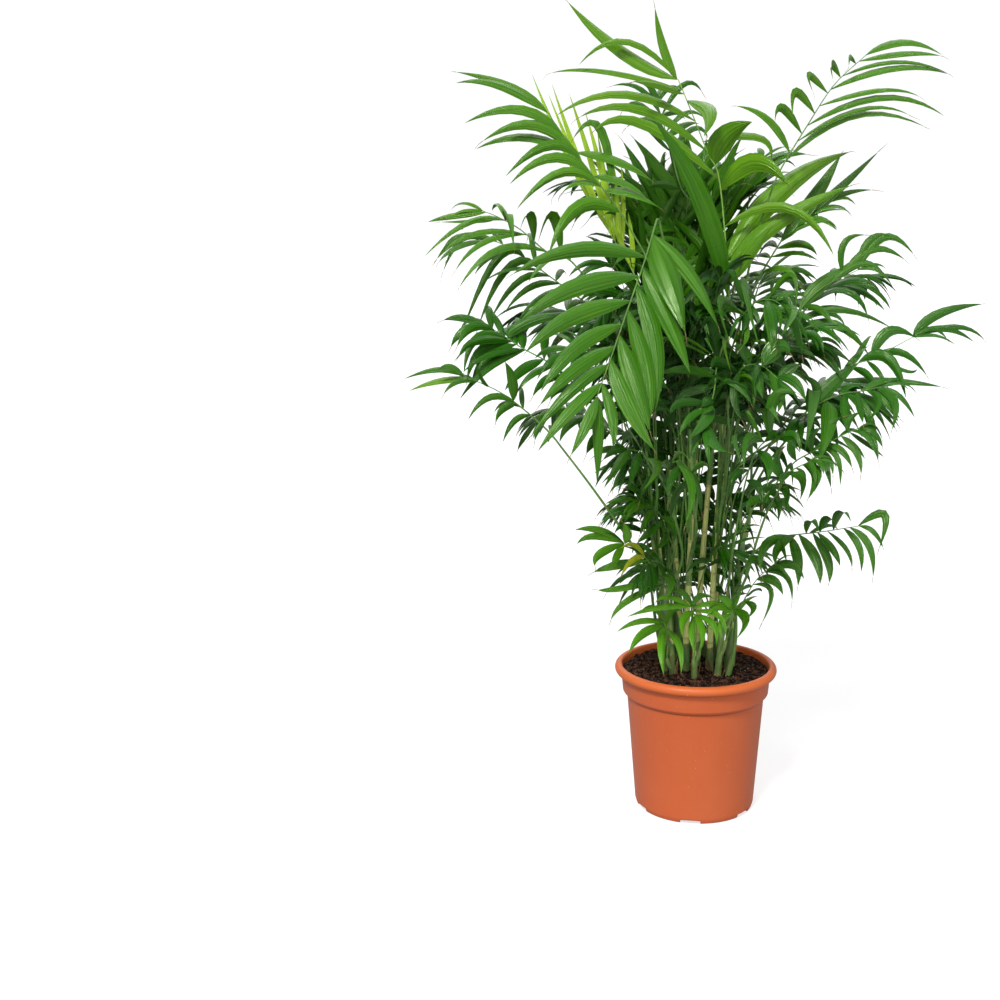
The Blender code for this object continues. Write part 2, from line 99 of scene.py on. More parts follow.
# Pot
BEAD_RADIUS = 0.105
BEAD_HEIGHT = 0.012
BEAD_STEPS = 14
RIM_BEND = 0.003
LIP_IN, LIP_DROP, LIP_OUT = 0.0012, 0.0015, 0.0006
UNDERCUT_OUT, UNDERCUT_RISE, UNDERCUT_DROP = 0.0004, 0.0004, 0.001
INNER_ROUNDING = 0.0015
OUTER_ROUNDING = 0.0012
ROUNDED_SHARE = 0.45
# Where the painted shadow lines sit: just under the bead, and at the shoulder below the collar
CREASE_SHADOW_DROP, CREASE_SHADOW_RISE = 0.0006, 0.0004
SHARP_ANGLE = radians(32)
COLLAR_RADIUS = 0.0965
COLLAR_FOOT_RADIUS = 0.0945
COLLAR_HEIGHT = 0.024
SHOULDER_DROP = 0.005
BODY_TOP_RADIUS = 0.0890
BODY_FOOT_RADIUS = 0.0780
FOOT_RADIUS = 0.0761
FOOT_CHAMFER = 0.006
FLOOR_THICKNESS = 0.0065
NOTCH_COUNT = 6
NOTCH_WIDTH = 0.026
NOTCH_HEIGHT = 0.005
NOTCH_DEPTH = 0.009
NOTCH_FIRST_HEADING = -93.0
PIP_HEADING = -95.0
PIP_RADIUS = 0.0011
PIP_SUNK = 0.0006
PIP_DROP = 0.72

# Soil
SOIL_TOP = 0.178
SOIL_EDGE_DROP = 0.004
SOIL_FLAT_RADIUS = 0.070
SOIL_HEAP = 0.0080
SOIL_SETTLED = 0.0008
SOIL_RINGS, SOIL_STEPS = 34, 128
LUMP_SCALE, LUMP_HEIGHT = 70, 0.0022
GRAIN_SCALE, GRAIN_HEIGHT = 320, 0.0012
PERLITE_ABOVE = 0.0005
PERLITE_PITS = (0.30, 0.26, 0.20)

# Canes, and how a frond starts on one
CANE_BOW = 1.4
CANE_SUNK = 0.004
CANE_STEPS = 30
CANE_SIDES = 16
RINGS_FROM, RINGS_SHORT_OF_TOP = 0.014, 0.01
RING_OFFSETS = (-0.003, -0.0012, 0.0, 0.0010, 0.0026)
RING_GAP_LOW, RING_GAP_RISE = 0.6, 0.9
RING_REACH = 0.0024
RING_DARKNESS = 0.8
SEAT_GAP = 0.0003
PETIOLE_FOOT_RADIUS = 0.0020
PETIOLE_END_RADIUS = 0.0012
PETIOLE_STEPS = 40
PETIOLE_SIDES = 8
THINNEST_PETIOLE, PETIOLE_GROWTH = 0.50, 2.2
SOIL_FOOT_SWELL, SOIL_FOOT_SHARE = 1.1, 0.22
RACHIS_END_RADIUS = 0.00045
CANE_SLIMNESS = 0.80
STEM_SUNK = 0.002

# Sheaths: on the canes, at the soil along their height, and dry
SHEATH_LENGTH = 0.055
TALL_SHEATH_SHARE = 0.45
SHEATH_TOP_GAP = 0.006
SHEATH_LEAN = 0.0014
SHEATH_THICKNESS = 0.0002
SHEATH_SWELL = 0.0005
SHEATH_STEPS = 8
SHEATH_SIDES = 14
SHEATH_ENDS = (0.02, 0.05, 0.09)
SHEATH_END_RADIUS, SHEATH_END_TAPER = 0.0031, 0.013
FOOT_SHEATH_SHARES = (0.0, 0.12, 0.3, 0.5, 0.7, 0.88, 1.0)
FOOT_SHEATH_RADII = (0.80, 1.08, 1.16, 1.06, 0.92, 0.78, 0.55)
FOOT_SHEATH_SIDES = 12
FOOT_WAY_HEIGHT, FOOT_WAY_POINT = 0.05, 10
DRY_ROWS, DRY_COLUMNS = 7, 6
DRY_FLARE, DRY_NARROWING, DRY_TEAR = 0.004, 0.92, 0.003
DRY_THICKNESS = 0.0004

# Steps of a frond's line, how strongly a joined piece keeps its directions, and the part below its leaflets
ARCH_STEPS = 60
DRAWN_STEPS = 10
WAY_STEPS = 14
JOIN_STEPS = 40
FOOT_STEPS = 50
JOIN_START_PULL = 0.42
JOIN_END_PULL = 0.34
DRAWN_FROM = 0.9

# The small inner fronds: degrees, metres, and shares of the group's reach
INNER_FAN = 150
INNER_SWAY = 12
INNER_RISE = 0.17
INNER_REACH = (0.6, 1.2)
INNER_FRONT_TIPS = (0.57, 0.64)
LOW_TIPS = (0.30, 0.56)
LOW_REACH = (0.05, 0.09)
LOW_LEAVES_AT, LOW_LEAVES_RISE = 0.225, 0.05
FRONT_KEPT_CLEAR = 50
FOOT_LEAST_BACK = -0.3
FOOT_JOIN = 16
FOOT_SWAY = 50
FOOT_OUT = (0.028, 0.052)

# The blade that each frond's solid has, from which its setting is found
TIP_RADIUS = 0.0006
BLADE_HALF_THICKNESS = 0.0013
BLADE_DROOP = 16.0
BLADE_SHARES = (0.0, 0.10, 0.26, 0.44, 0.62, 0.80, 0.92, 1.0)
BLADE_FULLNESS = 0.7
BLADE_WIDEST = 0.75
UNTWISTED_SHARE = 0.26
LEAST_FRONT = 0.2
NARROWINGS = (1.0, 0.85, 0.7, 0.55)
ROLLS = (0, 12, -12, 24, -24, 36, -36)
TURNS = (0, 3, -3, 6, -6, 9, -9)
LIFTS = (0, 0.02, -0.02, 0.04, -0.04)
NARROWING_STEP = 0.33
ROLL_STEP = 40.0
TURN_STEP = 9.0
LIFT_STEP = 0.04
BOX_AGREEMENT = 0.0004
UNCHANGED = (0, 0, 0, 1)

# A leaflet's outline: stations along it, its half width there, and columns across it with their drop; how it
# bends, where leaflets start on a rachis, the dry threads at their tips and the look of their surface
LEAF_STATIONS = np.array([0.0, 0.04, 0.11, 0.21, 0.33, 0.46, 0.59, 0.71, 0.82, 0.91, 0.965, 1.0])
LEAF_OUTLINE = np.array([0.10, 0.28, 0.60, 0.87, 1.0, 0.98, 0.88, 0.71, 0.49, 0.26, 0.12, 0.02])
LEAF_COLUMNS = np.array([-1.0, -0.5, 0.0, 0.5, 1.0])
LEAF_DROPS = np.array([1.0, 0.40, 0.0, 0.40, 1.0])
LEAF_BEND_STEPS = 28
LEAF_CURL_FROM = 0.72
SEEN_FROM, SEEN_STEPS = 0.94, 120
CREST_NEARER = 0.6
FEATHERED_FROM = 0.88
ENDING_OPENING, ENDING_WIDTH = 18, 0.8
THREAD_STATIONS = np.linspace(0.0, 1.0, 6)
THREAD_HALF_WIDTHS = np.linspace(0.00045, 0.00012, 6)
THREAD_SHARE = 0.55
UV_PER_METRE = 10.0
UV_STEP = 0.37
# Pleats across a leaflet, raised by its bump, with painted shade in their valleys
LEAF_PLEATS = 5
LEAF_SHEEN = (0.85, 1.0, 0.62, 1.0)
DRAW_SEED = 11


class Cane(NamedTuple):
    """A stem: its foot on the soil, height above the soil, lean of its top, and end radii."""

    name: str
    foot_x: float
    foot_y: float
    height: float
    lean_x: float
    lean_y: float
    foot_radius: float
    top_radius: float


CANE_ROWS = (
    ("tall_left", -0.013, -0.016, 0.345, 0.013, 0.000, 0.005, 0.0036),
    ("tall_middle", 0.001, 0.008, 0.36, 0.022, 0.006, 0.005, 0.0036),
    ("tall_right", 0.018, -0.006, 0.42, 0.02, 0.008, 0.005, 0.0034),
    ("left", -0.036, 0.003, 0.2, -0.016, 0.002, 0.0046, 0.0034),
    ("back_left", -0.02, 0.032, 0.26, -0.016, 0.026, 0.0046, 0.0034),
    ("back_right", 0.022, 0.032, 0.25, 0.014, 0.026, 0.0046, 0.0034),
    ("right", 0.042, 0.006, 0.2, 0.018, 0.002, 0.0046, 0.0034),
    ("front_left", -0.028, -0.03, 0.125, -0.01, -0.01, 0.0042, 0.0032),
    ("front_right", 0.028, -0.03, 0.115, 0.01, -0.01, 0.0042, 0.0032),
    ("front", -0.001, -0.043, 0.045, 0.000, -0.006, 0.0038, 0.003),
)
CANES = tuple(Cane(*row) for row in CANE_ROWS)


class Frond(NamedTuple):
    """A frond: its cane and the height it leaves at, where its tip goes, and how it arches and spreads."""

    name: str
    cane: str
    leaves_at: float
    heading: float
    reach: float
    tip: float
    crest_out: float
    crest: float
    leafed: float
    spread: float
    facing: float = 0.0
    split: bool = False


FROND_ROWS = (
    ("crown", "tall_right", 0.5, 171, 0.195, 1.02, -0.13, 0.9, 0.36, 0.09, 0.75),
    ("top_left", "tall_left", 0.49, 184, 0.305, 0.945, 0.29, 0.86, 0.42, 0.085, 0.55),
    ("spear", "tall_left", 0.46, 164, 0.215, 0.945, 0.35, 0.72, 0.5, 0.022, 0.4),
    ("top_right", "tall_right", 0.53, 10, 0.25, 0.94, 0.17, 0.97, 0.45, 0.085, 0.5),
    ("hanging", "tall_left", 0.44, 251, 0.33, 0.49, 0.41, 1.04, 0.48, 0.11, 0.0, True),
    ("front_middle", "tall_middle", 0.45, -82, 0.25, 0.6, 0.45, 0.88, 0.48, 0.075, 0, True),
    ("left_upper", "tall_left", 0.43, 169, 0.345, 0.76, 0.46, 0.78, 0.5, 0.065, 0.45),
    ("left_behind", "back_left", 0.41, 164, 0.3, 0.7, 0.45, 0.79, 0.5, 0.065, 0.35),
    ("left_low", "left", 0.3, 186, 0.33, 0.565, 0.4, 0.62, 0.52, 0.07, 0.35),
    ("left_dark", "left", 0.35, 174, 0.27, 0.59, 0.45, 0.7, 0.5, 0.065, 0.4),
    ("right_far", "right", 0.33, -8, 0.285, 0.655, 0.26, 0.66, 0.42, 0.065, 0.35),
    ("right_upper", "right", 0.36, 15, 0.22, 0.74, 0.3, 0.8, 0.45, 0.07, 0.45),
    ("right_middle", "tall_right", 0.42, -18, 0.22, 0.61, 0.35, 0.72, 0.45, 0.065, 0.35),
    ("right_low", "right", 0.3, -29, 0.25, 0.5, 0.5, 0.64, 0.48, 0.07, 0.25),
    ("right_drooping", "front_right", 0.28, -40, 0.225, 0.44, 0.5, 0.58, 0.48, 0.065, 0.2),
    ("right_lowest", "front_right", 0.25, -12, 0.205, 0.375, 0.35, 0.48, 0.42, 0.055, 0.25),
    ("foot_right", "front_right", 0.22, -45, 0.1, 0.26, 0.5, 0.38, 0.42, 0.042),
    ("left_lowest", "left", 0.26, 204, 0.125, 0.375, 0.5, 0.46, 0.42, 0.048, 0.25),
    ("foot_left", "front_left", 0.23, 222, 0.095, 0.265, 0.5, 0.37, 0.42, 0.042),
    ("tuft_left", "front_left", 0.2, 205, 0.065, 0.235, 0.45, 0.31, 0.35, 0.03),
    ("tuft_front", "front", 0.205, 262, 0.06, 0.212, 0.5, 0.3, 0.35, 0.032),
    ("tuft_right", "front", 0.215, -30, 0.065, 0.24, 0.45, 0.31, 0.35, 0.03),
    ("front_high", "tall_right", 0.48, -35, 0.2, 0.72, 0.4, 0.88, 0.45, 0.075, 0.2),
    ("front_right", "tall_right", 0.4, -58, 0.23, 0.58, 0.45, 0.72, 0.48, 0.07),
    ("front_low_right", "front_right", 0.27, -66, 0.215, 0.52, 0.45, 0.67, 0.48, 0.065),
    ("front_low", "tall_left", 0.33, -82, 0.22, 0.45, 0.5, 0.6, 0.5, 0.06),
    ("front_low_left", "front_left", 0.29, 238, 0.21, 0.45, 0.5, 0.6, 0.48, 0.06),
    ("front_left", "left", 0.33, 222, 0.24, 0.5, 0.5, 0.64, 0.5, 0.065, 0.2),
    ("back_high_right", "tall_middle", 0.51, 58, 0.22, 0.9, 0.25, 0.97, 0.45, 0.08),
    ("back_high", "tall_middle", 0.48, 122, 0.23, 0.92, 0.25, 0.96, 0.45, 0.085),
    ("back_high_left", "tall_left", 0.49, 140, 0.25, 0.81, 0.28, 0.86, 0.45, 0.07),
    ("back_upper_right", "tall_right", 0.46, 34, 0.27, 0.82, 0.35, 0.9, 0.48, 0.075),
    ("back_upper", "back_left", 0.42, 92, 0.27, 0.78, 0.35, 0.86, 0.48, 0.075),
    ("back_right", "back_right", 0.4, 42, 0.31, 0.66, 0.42, 0.76, 0.48, 0.07),
    ("back_middle", "back_right", 0.41, 74, 0.31, 0.67, 0.42, 0.77, 0.48, 0.075),
    ("back_left", "back_left", 0.4, 110, 0.31, 0.64, 0.42, 0.75, 0.48, 0.075),
    ("back_far_left", "back_left", 0.38, 138, 0.31, 0.62, 0.42, 0.72, 0.48, 0.07),
    ("back_low_right", "back_right", 0.33, 28, 0.25, 0.5, 0.45, 0.63, 0.46, 0.065),
    ("back_low_middle", "back_right", 0.34, 90, 0.26, 0.48, 0.45, 0.61, 0.46, 0.065),
    ("back_low_left", "back_left", 0.32, 152, 0.25, 0.47, 0.45, 0.6, 0.46, 0.065),
    ("back_foot_right", "back_right", 0.26, 60, 0.18, 0.35, 0.45, 0.46, 0.42, 0.055),
    ("back_foot_left", "back_left", 0.26, 120, 0.18, 0.34, 0.45, 0.46, 0.42, 0.055),
)
FRONDS = tuple(Frond(*row) for row in FROND_ROWS)


class Inner(NamedTuple):
    """A group of small inner fronds that share one solid: its cane, heading and height, their number, reach
    and the height of the lowest tip, every how many of them is a low one, and the looks of the others."""

    name: str
    cane: str
    heading: float
    leaves_at: float
    count: int
    reach: float
    tip: float
    low_every: int
    looks: tuple


INNER_ROWS = (
    ("front", "tall_left", -100, 0.36, 13, 0.060, 0.58, 3, (0, 1)),
    ("right", "tall_right", -20, 0.36, 14, 0.135, 0.47, 3, (0, 1)),
    ("back", "back_left", 90, 0.36, 34, 0.080, 0.66, 2, (3, 4)),
    ("left", "left", 195, 0.33, 14, 0.120, 0.54, 3, (0, 1)),
)
INNER_GROUPS = tuple(Inner(*row) for row in INNER_ROWS)


class Look(NamedTuple):
    """How a frond is feathered: tint, leaflet length and width, pairs, droop, where its rachis ends, and how
    widely its lowest leaflets open, in degrees."""

    tint: str
    length: float
    width: float
    pairs: int
    droop: float
    rachis_end: float = 0.86
    opening: float = 70.0


LOOK_ROWS = {
    "crown": ("crown", 0.15, 0.026, 0, 0.6, 0.8),
    "top_left": ("fresh", 0.14, 0.014, 0, 0.8, 0.84),
    "spear": ("spear", 0.12, 0.01, 0, 0.1, 0.7),
    "top_right": ("fresh", 0.13, 0.012, 0, 0.8, 0.86),
    "hanging": ("hanging", 0.14, 0.022, 0, 0.5, 0.8),
    "front_middle": ("deep", 0.07, 0.012, 1, 1.8),
    "left_upper": ("fresh", 0.08, 0.011, 2, 1.2, 0.88),
    "left_behind": ("mature", 0.085, 0.011, 5, 1.2, 0.88),
    "left_low": ("mature", 0.06, 0.01, 3, 1.0, 0.88),
    "left_dark": ("deep", 0.085, 0.015, 9, 1.3, 0.86),
    "right_far": ("deep", 0.065, 0.012, 3, 1.2, 0.76),
    "right_upper": ("mature", 0.07, 0.012, 1, 1.5, 0.82),
    "right_middle": ("deep", 0.07, 0.012, 4, 1.8),
    "right_low": ("deep", 0.065, 0.011, 3, 1.9),
    "right_drooping": ("mature", 0.06, 0.01, 3, 2.0),
    "right_lowest": ("mature", 0.06, 0.012, 1, 1.8, 0.88),
    "foot_right": ("mature", 0.05, 0.009, 2, 1.6, 0.86),
    "left_lowest": ("hanging", 0.055, 0.01, 3, 1.4),
    "foot_left": ("fresh", 0.045, 0.008, 1, 1.2),
    "tuft_left": ("tuft", 0.055, 0.014, 0, 1.0, 0.6),
    "tuft_front": ("tuft", 0.05, 0.012, 0, 1.0, 0.6),
    "tuft_right": ("tuft", 0.05, 0.014, 1, 1.0, 0.7),
    "front_high": ("deep", 0.076, 0.012, 2, 1.8),
    "front_right": ("dark", 0.066, 0.011, 2, 2.0),
    "front_low_right": ("dark", 0.055, 0.01, 1, 1.6),
    "front_low": ("dark", 0.055, 0.009, 0, 1.9),
    "front_low_left": ("deep", 0.055, 0.009, 0, 1.8),
    "front_left": ("dark", 0.062, 0.012, 4, 1.4),
    "back_high_right": ("mature", 0.07, 0.011, 7, 0.9),
    "back_high": ("mature", 0.075, 0.011, 3, 0.9),
    "back_high_left": ("mature", 0.085, 0.012, 9, 1.0),
    "back_upper_right": ("fresh", 0.085, 0.012, 8, 1.1),
    "back_upper": ("hanging", 0.1, 0.015, 11, 1.0),
    "back_right": ("deep", 0.088, 0.013, 12, 1.4),
    "back_middle": ("mature", 0.088, 0.014, 12, 1.3),
    "back_left": ("deep", 0.09, 0.014, 12, 1.3),
    "back_far_left": ("dark", 0.095, 0.013, 12, 1.4),
    "back_low_right": ("deep", 0.085, 0.016, 12, 1.7),
    "back_low_middle": ("dark", 0.085, 0.018, 12, 1.7),
    "back_low_left": ("mature", 0.085, 0.016, 12, 1.7),
    "back_foot_right": ("mature", 0.065, 0.01, 10, 1.5),
    "back_foot_left": ("mature", 0.065, 0.01, 10, 1.5),
}
LOOKS = {name: Look(*row) for name, row in LOOK_ROWS.items()}
INNER_LOOKS = (
    Look("dark", 0.074, 0.014, 6, 1.4),
    Look("deep", 0.068, 0.0125, 6, 1.2),
    Look("deep", 0.06, 0.0105, 8, 1.2),
    Look("hanging", 0.105, 0.017, 5, 0.25, 0.86, 42),
    Look("mature", 0.1, 0.016, 6, 0.35, 0.86, 48),
)


# Leaflets measured on the photograph. For each frond come first how much nearer a tip is than its base, in
# mm, and the tint, then a row for each leaflet with the pixels of its base, crest and tip, its width in mm,
# and its own nearness and tint where they differ
SEEN = {
    "crown": (
        20, "crown", (677, 79, 620, 47, 568, 2, 24, 0), (677, 79, 664, 48, 655, 8, 13, 0),
        (670, 70, 626, 41, 579, 65, 10), (682, 90, 606, 70, 551, 73, 13, 10),
        (684, 95, 658, 84, 635, 82, 14, 50), (696, 122, 622, 93, 556, 116, 14),
        (709, 151, 640, 109, 580, 117, 14), (714, 180, 645, 123, 594, 131, 17, 30),
        (728, 296, 703, 199, 655, 121, 29, 60, "hanging"), (689, 100, 708, 108, 704, 136, 23, 80),
        (711, 164, 726, 138, 752, 122, 33, 30), (744, 126, 758, 136, 771, 160, 13, 0),
        (720, 191, 753, 163, 788, 185, 26, 50), (726, 228, 787, 207, 834, 256, 15, 50),
        (731, 268, 776, 222, 850, 186, 25, 30), (731, 258, 782, 186, 849, 152, 35, -20),
        (732, 284, 750, 250, 776, 222, 22),
    ),
    "top_left": (
        20, "fresh", (548, 113, 500, 84, 456, 83, 15.1), (547, 111, 510, 86, 456, 72, 11.9, 0),
        (570, 131, 520, 109, 465, 123, 15.1), (583, 148, 534, 124, 483, 141, 16.2),
        (587, 150, 528, 136, 476, 149, 15.1, 0), (592, 152, 550, 145, 506, 176, 14),
        (597, 173, 554, 157, 510, 184, 14), (604, 184, 562, 172, 517, 209, 14),
        (610, 180, 580, 182, 562, 193, 8.6, 0), (620, 212, 580, 206, 549, 254, 20.5, 40),
        (583, 147, 616, 160, 652, 181, 14, -10), (597, 173, 620, 181, 646, 197, 11.9, 0),
        (606, 190, 630, 192, 660, 208, 14, 0), (662, 169, 600, 128, 573, 139, 11.9, 0),
    ),
    "spear": (
        10, "spear", (603, 232, 566, 150, 532, 74, 9.8, 0), (606, 225, 576, 160, 548, 93, 7.3),
        (605, 236, 579, 160, 552, 84, 8.5, 0), (613, 236, 592, 165, 569, 93, 8.5),
        (617, 242, 602, 175, 585, 111, 8.5, 0), (616, 240, 606, 185, 597, 130, 7.3),
        (620, 246, 614, 190, 607, 139, 8.5, 0), (622, 250, 617, 200, 611, 151, 7.3),
        (625, 250, 623, 205, 621, 165, 7.3, 0), (633, 268, 620, 238, 606, 215, 7.3, 20),
        (637, 272, 632, 240, 628, 212, 7.3, 20),
    ),
    "top_right": (
        0, "fresh", (866, 55, 905, 41, 942, 55, 13), (860, 62, 905, 53, 941, 56, 10),
        (842, 77, 897, 61, 949, 74, 8), (832, 90, 893, 68, 948, 74, 10), (820, 106, 880, 89, 920, 97, 10),
        (807, 125, 882, 97, 944, 116, 10), (797, 142, 860, 109, 909, 115, 8),
        (785, 162, 853, 115, 925, 127, 11), (859, 66, 852, 57, 849, 66, 9, 30),
        (841, 77, 833, 64, 833, 80, 11, 30), (826, 93, 811, 75, 813, 92, 12, 30),
        (812, 111, 797, 92, 793, 117, 13, 30), (799, 133, 784, 108, 775, 122, 13, 30),
        (788, 152, 769, 119, 736, 106, 12),
    ),
    "hanging": (
        30, "hanging", (644, 257, 580, 248, 513, 274, 22), (637, 276, 580, 284, 520, 321, 26),
        (629, 300, 574, 314, 526, 352, 25), (620, 323, 577, 345, 541, 391, 21),
        (613, 345, 577, 367, 540, 405, 19), (606, 363, 577, 384, 531, 436, 18, 20),
        (601, 383, 572, 409, 538, 451, 15, 20), (597, 397, 586, 425, 571, 455, 13, 20),
        (597, 398, 598, 435, 597, 483, 14, 0), (605, 384, 612, 416, 613, 448, 14, 20),
        (611, 360, 628, 405, 654, 450, 20), (620, 336, 637, 385, 650, 431, 25),
        (628, 311, 646, 370, 648, 425, 23), (637, 287, 656, 345, 655, 411, 23),
        (644, 269, 668, 315, 690, 373, 26), (651, 237, 670, 278, 685, 332, 37, 50),
        (656, 236, 690, 271, 718, 326, 23, 20),
    ),
    "left_upper": (
        20, "fresh", (486, 212, 455, 215, 428, 222, 11, 0), (498, 217, 476, 220, 440, 222, 9, 0),
        (503, 224, 468, 222, 425, 256, 10), (527, 236, 476, 233, 437, 259, 9),
        (522, 240, 485, 241, 455, 271, 10), (547, 252, 498, 249, 459, 288, 11),
        (505, 222, 508, 216, 514, 249, 15, 50), (537, 238, 530, 215, 520, 230, 13, 40),
        (563, 250, 553, 216, 538, 243, 15, 40),
    ),
    "left_behind": (
        20, "mature", (498, 242, 463, 236, 437, 259, 10, 0), (480, 240, 460, 240, 443, 272, 10, 0),
        (526, 259, 498, 258, 463, 330, 13), (544, 270, 510, 266, 478, 328, 12),
        (550, 276, 520, 280, 490, 321, 11), (560, 284, 532, 286, 505, 312, 11),
    ),
    "left_low": (
        20, "mature", (466, 376, 440, 369, 404, 379, 10, 0), (470, 385, 440, 380, 409, 391, 12, 0, "crown"),
        (464, 374, 450, 366, 438, 370, 8, 0), (490, 386, 482, 376, 476, 361, 10),
        (514, 400, 512, 380, 505, 362, 14), (515, 404, 490, 397, 468, 420, 10),
        (522, 408, 505, 402, 494, 413, 8, 0), (530, 416, 515, 420, 503, 442, 10),
    ),
    "left_dark": (
        30, "deep", (492, 336, 474, 326, 457, 347, 14), (506, 342, 478, 337, 464, 373, 14),
        (510, 345, 482, 349, 467, 381, 14), (524, 353, 490, 365, 460, 399, 14),
        (506, 341, 530, 320, 581, 313, 20, 0),
    ),
    "right_far": (
        0, "deep", (913, 337, 938, 314, 983, 304, 13), (871, 357, 889, 331, 916, 338, 15),
        (913, 337, 944, 328, 974, 342, 10), (928, 333, 958, 326, 985, 341, 9),
        (873, 360, 901, 352, 927, 376, 11, 20), (859, 366, 887, 357, 906, 398, 17, 30),
        (848, 393, 895, 380, 942, 387, 12, 20), (842, 372, 855, 357, 868, 346, 8),
        (890, 384, 905, 370, 917, 369, 7),
    ),
    "right_upper": (
        0, "mature", (790, 329, 836, 309, 893, 329, 11, 20), (781, 347, 828, 323, 870, 357, 14, 30),
        (838, 266, 844, 244, 865, 235, 10), (851, 255, 870, 240, 891, 236, 11),
        (853, 255, 885, 236, 914, 255, 13), (838, 267, 872, 249, 905, 260, 12),
        (824, 274, 860, 262, 885, 275, 13), (800, 312, 826, 280, 863, 266, 20),
    ),
    "right_lowest": (
        40, "mature", (790, 538, 798, 558, 798, 586, 14.7, 30), (800, 541, 816, 558, 820, 584, 14.7, 30),
        (813, 540, 828, 558, 829, 583, 13.8, 30), (818, 538, 833, 548, 840, 566, 12, 30),
        (829, 541, 846, 548, 852, 568, 7.4, 20), (844, 533, 859, 546, 861, 572, 9.2, 20),
        (850, 530, 869, 545, 873, 577, 10.1, 20), (858, 526, 884, 514, 879, 549, 12, 20),
        (806, 533, 811, 521, 819, 531, 12), (820, 531, 828, 519, 837, 528, 12),
        (833, 529, 841, 513, 851, 522, 12.9), (790, 540, 766, 546, 762, 574, 13.8),
        (797, 540, 779, 547, 776, 566, 12.9),
    ),
    "foot_right": (
        20, "mature", (768, 570, 790, 564, 804, 579, 13), (765, 573, 786, 576, 792, 601, 8),
        (757, 580, 773, 580, 783, 595, 13), (752, 584, 771, 591, 762, 623, 8),
        (742, 600, 753, 607, 745, 620, 10, 30), (768, 570, 754, 560, 745, 578, 13, 30),
    ),
    "foot_left": (
        20, "fresh", (623, 543, 600, 530, 575, 530, 12), (612, 545, 595, 536, 577, 544, 10),
        (608, 545, 601, 553, 595, 566, 13, 30), (615, 545, 617, 556, 613, 566, 11, 30),
        (625, 543, 627, 533, 623, 523, 13, 0), (650, 553, 634, 545, 620, 549, 7, 30, "yellowing"),
        (650, 554, 633, 560, 620, 578, 8, 30, "yellowing"), (640, 566, 615, 565, 594, 572, 13),
        (645, 590, 620, 588, 598, 590, 10), (648, 594, 628, 600, 611, 620, 10),
        (663, 573, 669, 582, 665, 601, 15, 40),
    ),
    "tuft_left": (
        20, "tuft", (664, 623, 640, 621, 617, 632, 9), (664, 626, 644, 633, 629, 653, 13, 40),
        (666, 626, 662, 645, 664, 676, 13, 40), (670, 628, 679, 645, 681, 674, 11, 40),
        (666, 622, 654, 608, 640, 612, 8), (668, 626, 672, 612, 684, 612, 8),
    ),
    "tuft_front": (
        30, "tuft", (691, 607, 660, 607, 627, 617, 9, 20), (692, 607, 670, 597, 655, 603, 8, 20),
        (692, 611, 684, 620, 683, 638, 12, 40), (695, 613, 702, 628, 701, 650, 9, 40),
        (698, 614, 713, 624, 716, 645, 9), (696, 611, 718, 615, 726, 637, 8),
        (694, 616, 692, 632, 694, 652, 10), (694, 608, 716, 603, 733, 610, 8, 0),
        (692, 607, 700, 596, 713, 598, 8, 0, "mature"), (690, 606, 682, 592, 668, 592, 8, 0, "mature"),
    ),
    "tuft_right": (
        20, "tuft", (733, 609, 744, 618, 736, 639, 15, 40, "hanging"), (731, 612, 718, 608, 706, 618, 8),
        (731, 614, 722, 622, 722, 640, 9, 30), (732, 610, 736, 596, 748, 594, 7, 0, "mature"),
    ),
    "front_high": (
        120, "hanging", (757, 302, 748, 288, 760, 350, 25), (738, 312, 723, 303, 731, 346, 19),
        (736, 350, 726, 344, 731, 372, 12, 100, "crown"), (762, 313, 777, 309, 779, 334, 8, 30, "mature"),
        (780, 306, 792, 311, 779, 338, 13, 80, "mature"), (768, 300, 791, 276, 795, 314, 10, 30),
        (761, 302, 785, 297, 792, 316, 22, 20, "dark"), (766, 303, 772, 322, 771, 350, 18, 30, "mature"),
        (736, 310, 745, 317, 741, 339, 13, 30, "dark"), (745, 316, 747, 333, 742, 347, 7, 50, "fresh"),
        (730, 345, 750, 332, 768, 356, 5, 70, "fresh"), (734, 348, 760, 341, 778, 358, 4, 70, "fresh"),
        (752, 306, 742, 290, 735, 276, 14, 0, "dark"), (775, 302, 790, 292, 806, 297, 12, 0, "deep"),
    ),
    "front_right": (
        0, "dark", (736, 366, 757, 356, 772, 388, 4, 50, "fresh"),
        (735, 377, 748, 376, 757, 389, 4, 50, "fresh"), (757, 368, 759, 378, 763, 399, 15, 60, "mature"),
        (736, 385, 744, 377, 755, 394, 13, 40, "hanging"), (770, 385, 784, 385, 797, 393, 9, 20, "deep"),
        (777, 382, 789, 369, 801, 364, 14), (765, 360, 778, 347, 790, 353, 24, 0, "deep"),
        (730, 366, 720, 362, 711, 371, 16, 30), (768, 372, 780, 390, 778, 412, 14, 40, "mature"),
        (750, 366, 744, 350, 733, 346, 14), (774, 378, 793, 380, 806, 402, 13, 30, "deep"),
        (742, 372, 735, 395, 742, 420, 13, 20),
    ),
    "front_middle": (
        20, "dark", (697, 335, 707, 336, 715, 356, 9, 50, "deep"), (722, 316, 712, 322, 700, 335, 14),
        (713, 377, 688, 369, 658, 375, 12, 40, "mature"), (708, 402, 705, 420, 687, 440, 15, 60, "deep"),
        (716, 400, 709, 399, 701, 408, 14), (720, 414, 712, 411, 702, 415, 8),
        (704, 420, 713, 441, 728, 452, 16, 50, "deep"), (704, 402, 682, 402, 670, 415, 11),
        (713, 389, 733, 382, 753, 397, 4, 50), (699, 350, 680, 336, 676, 357, 5, 70, "fresh"),
        (697, 355, 664, 338, 658, 365, 5, 70, "fresh"), (708, 385, 690, 390, 676, 400, 14, 0),
        (716, 372, 700, 372, 690, 386, 14, 0),
    ),
    "front_low_right": (
        60, "mature", (752, 456, 737, 432, 742, 467, 16), (764, 441, 750, 440, 744, 472, 15),
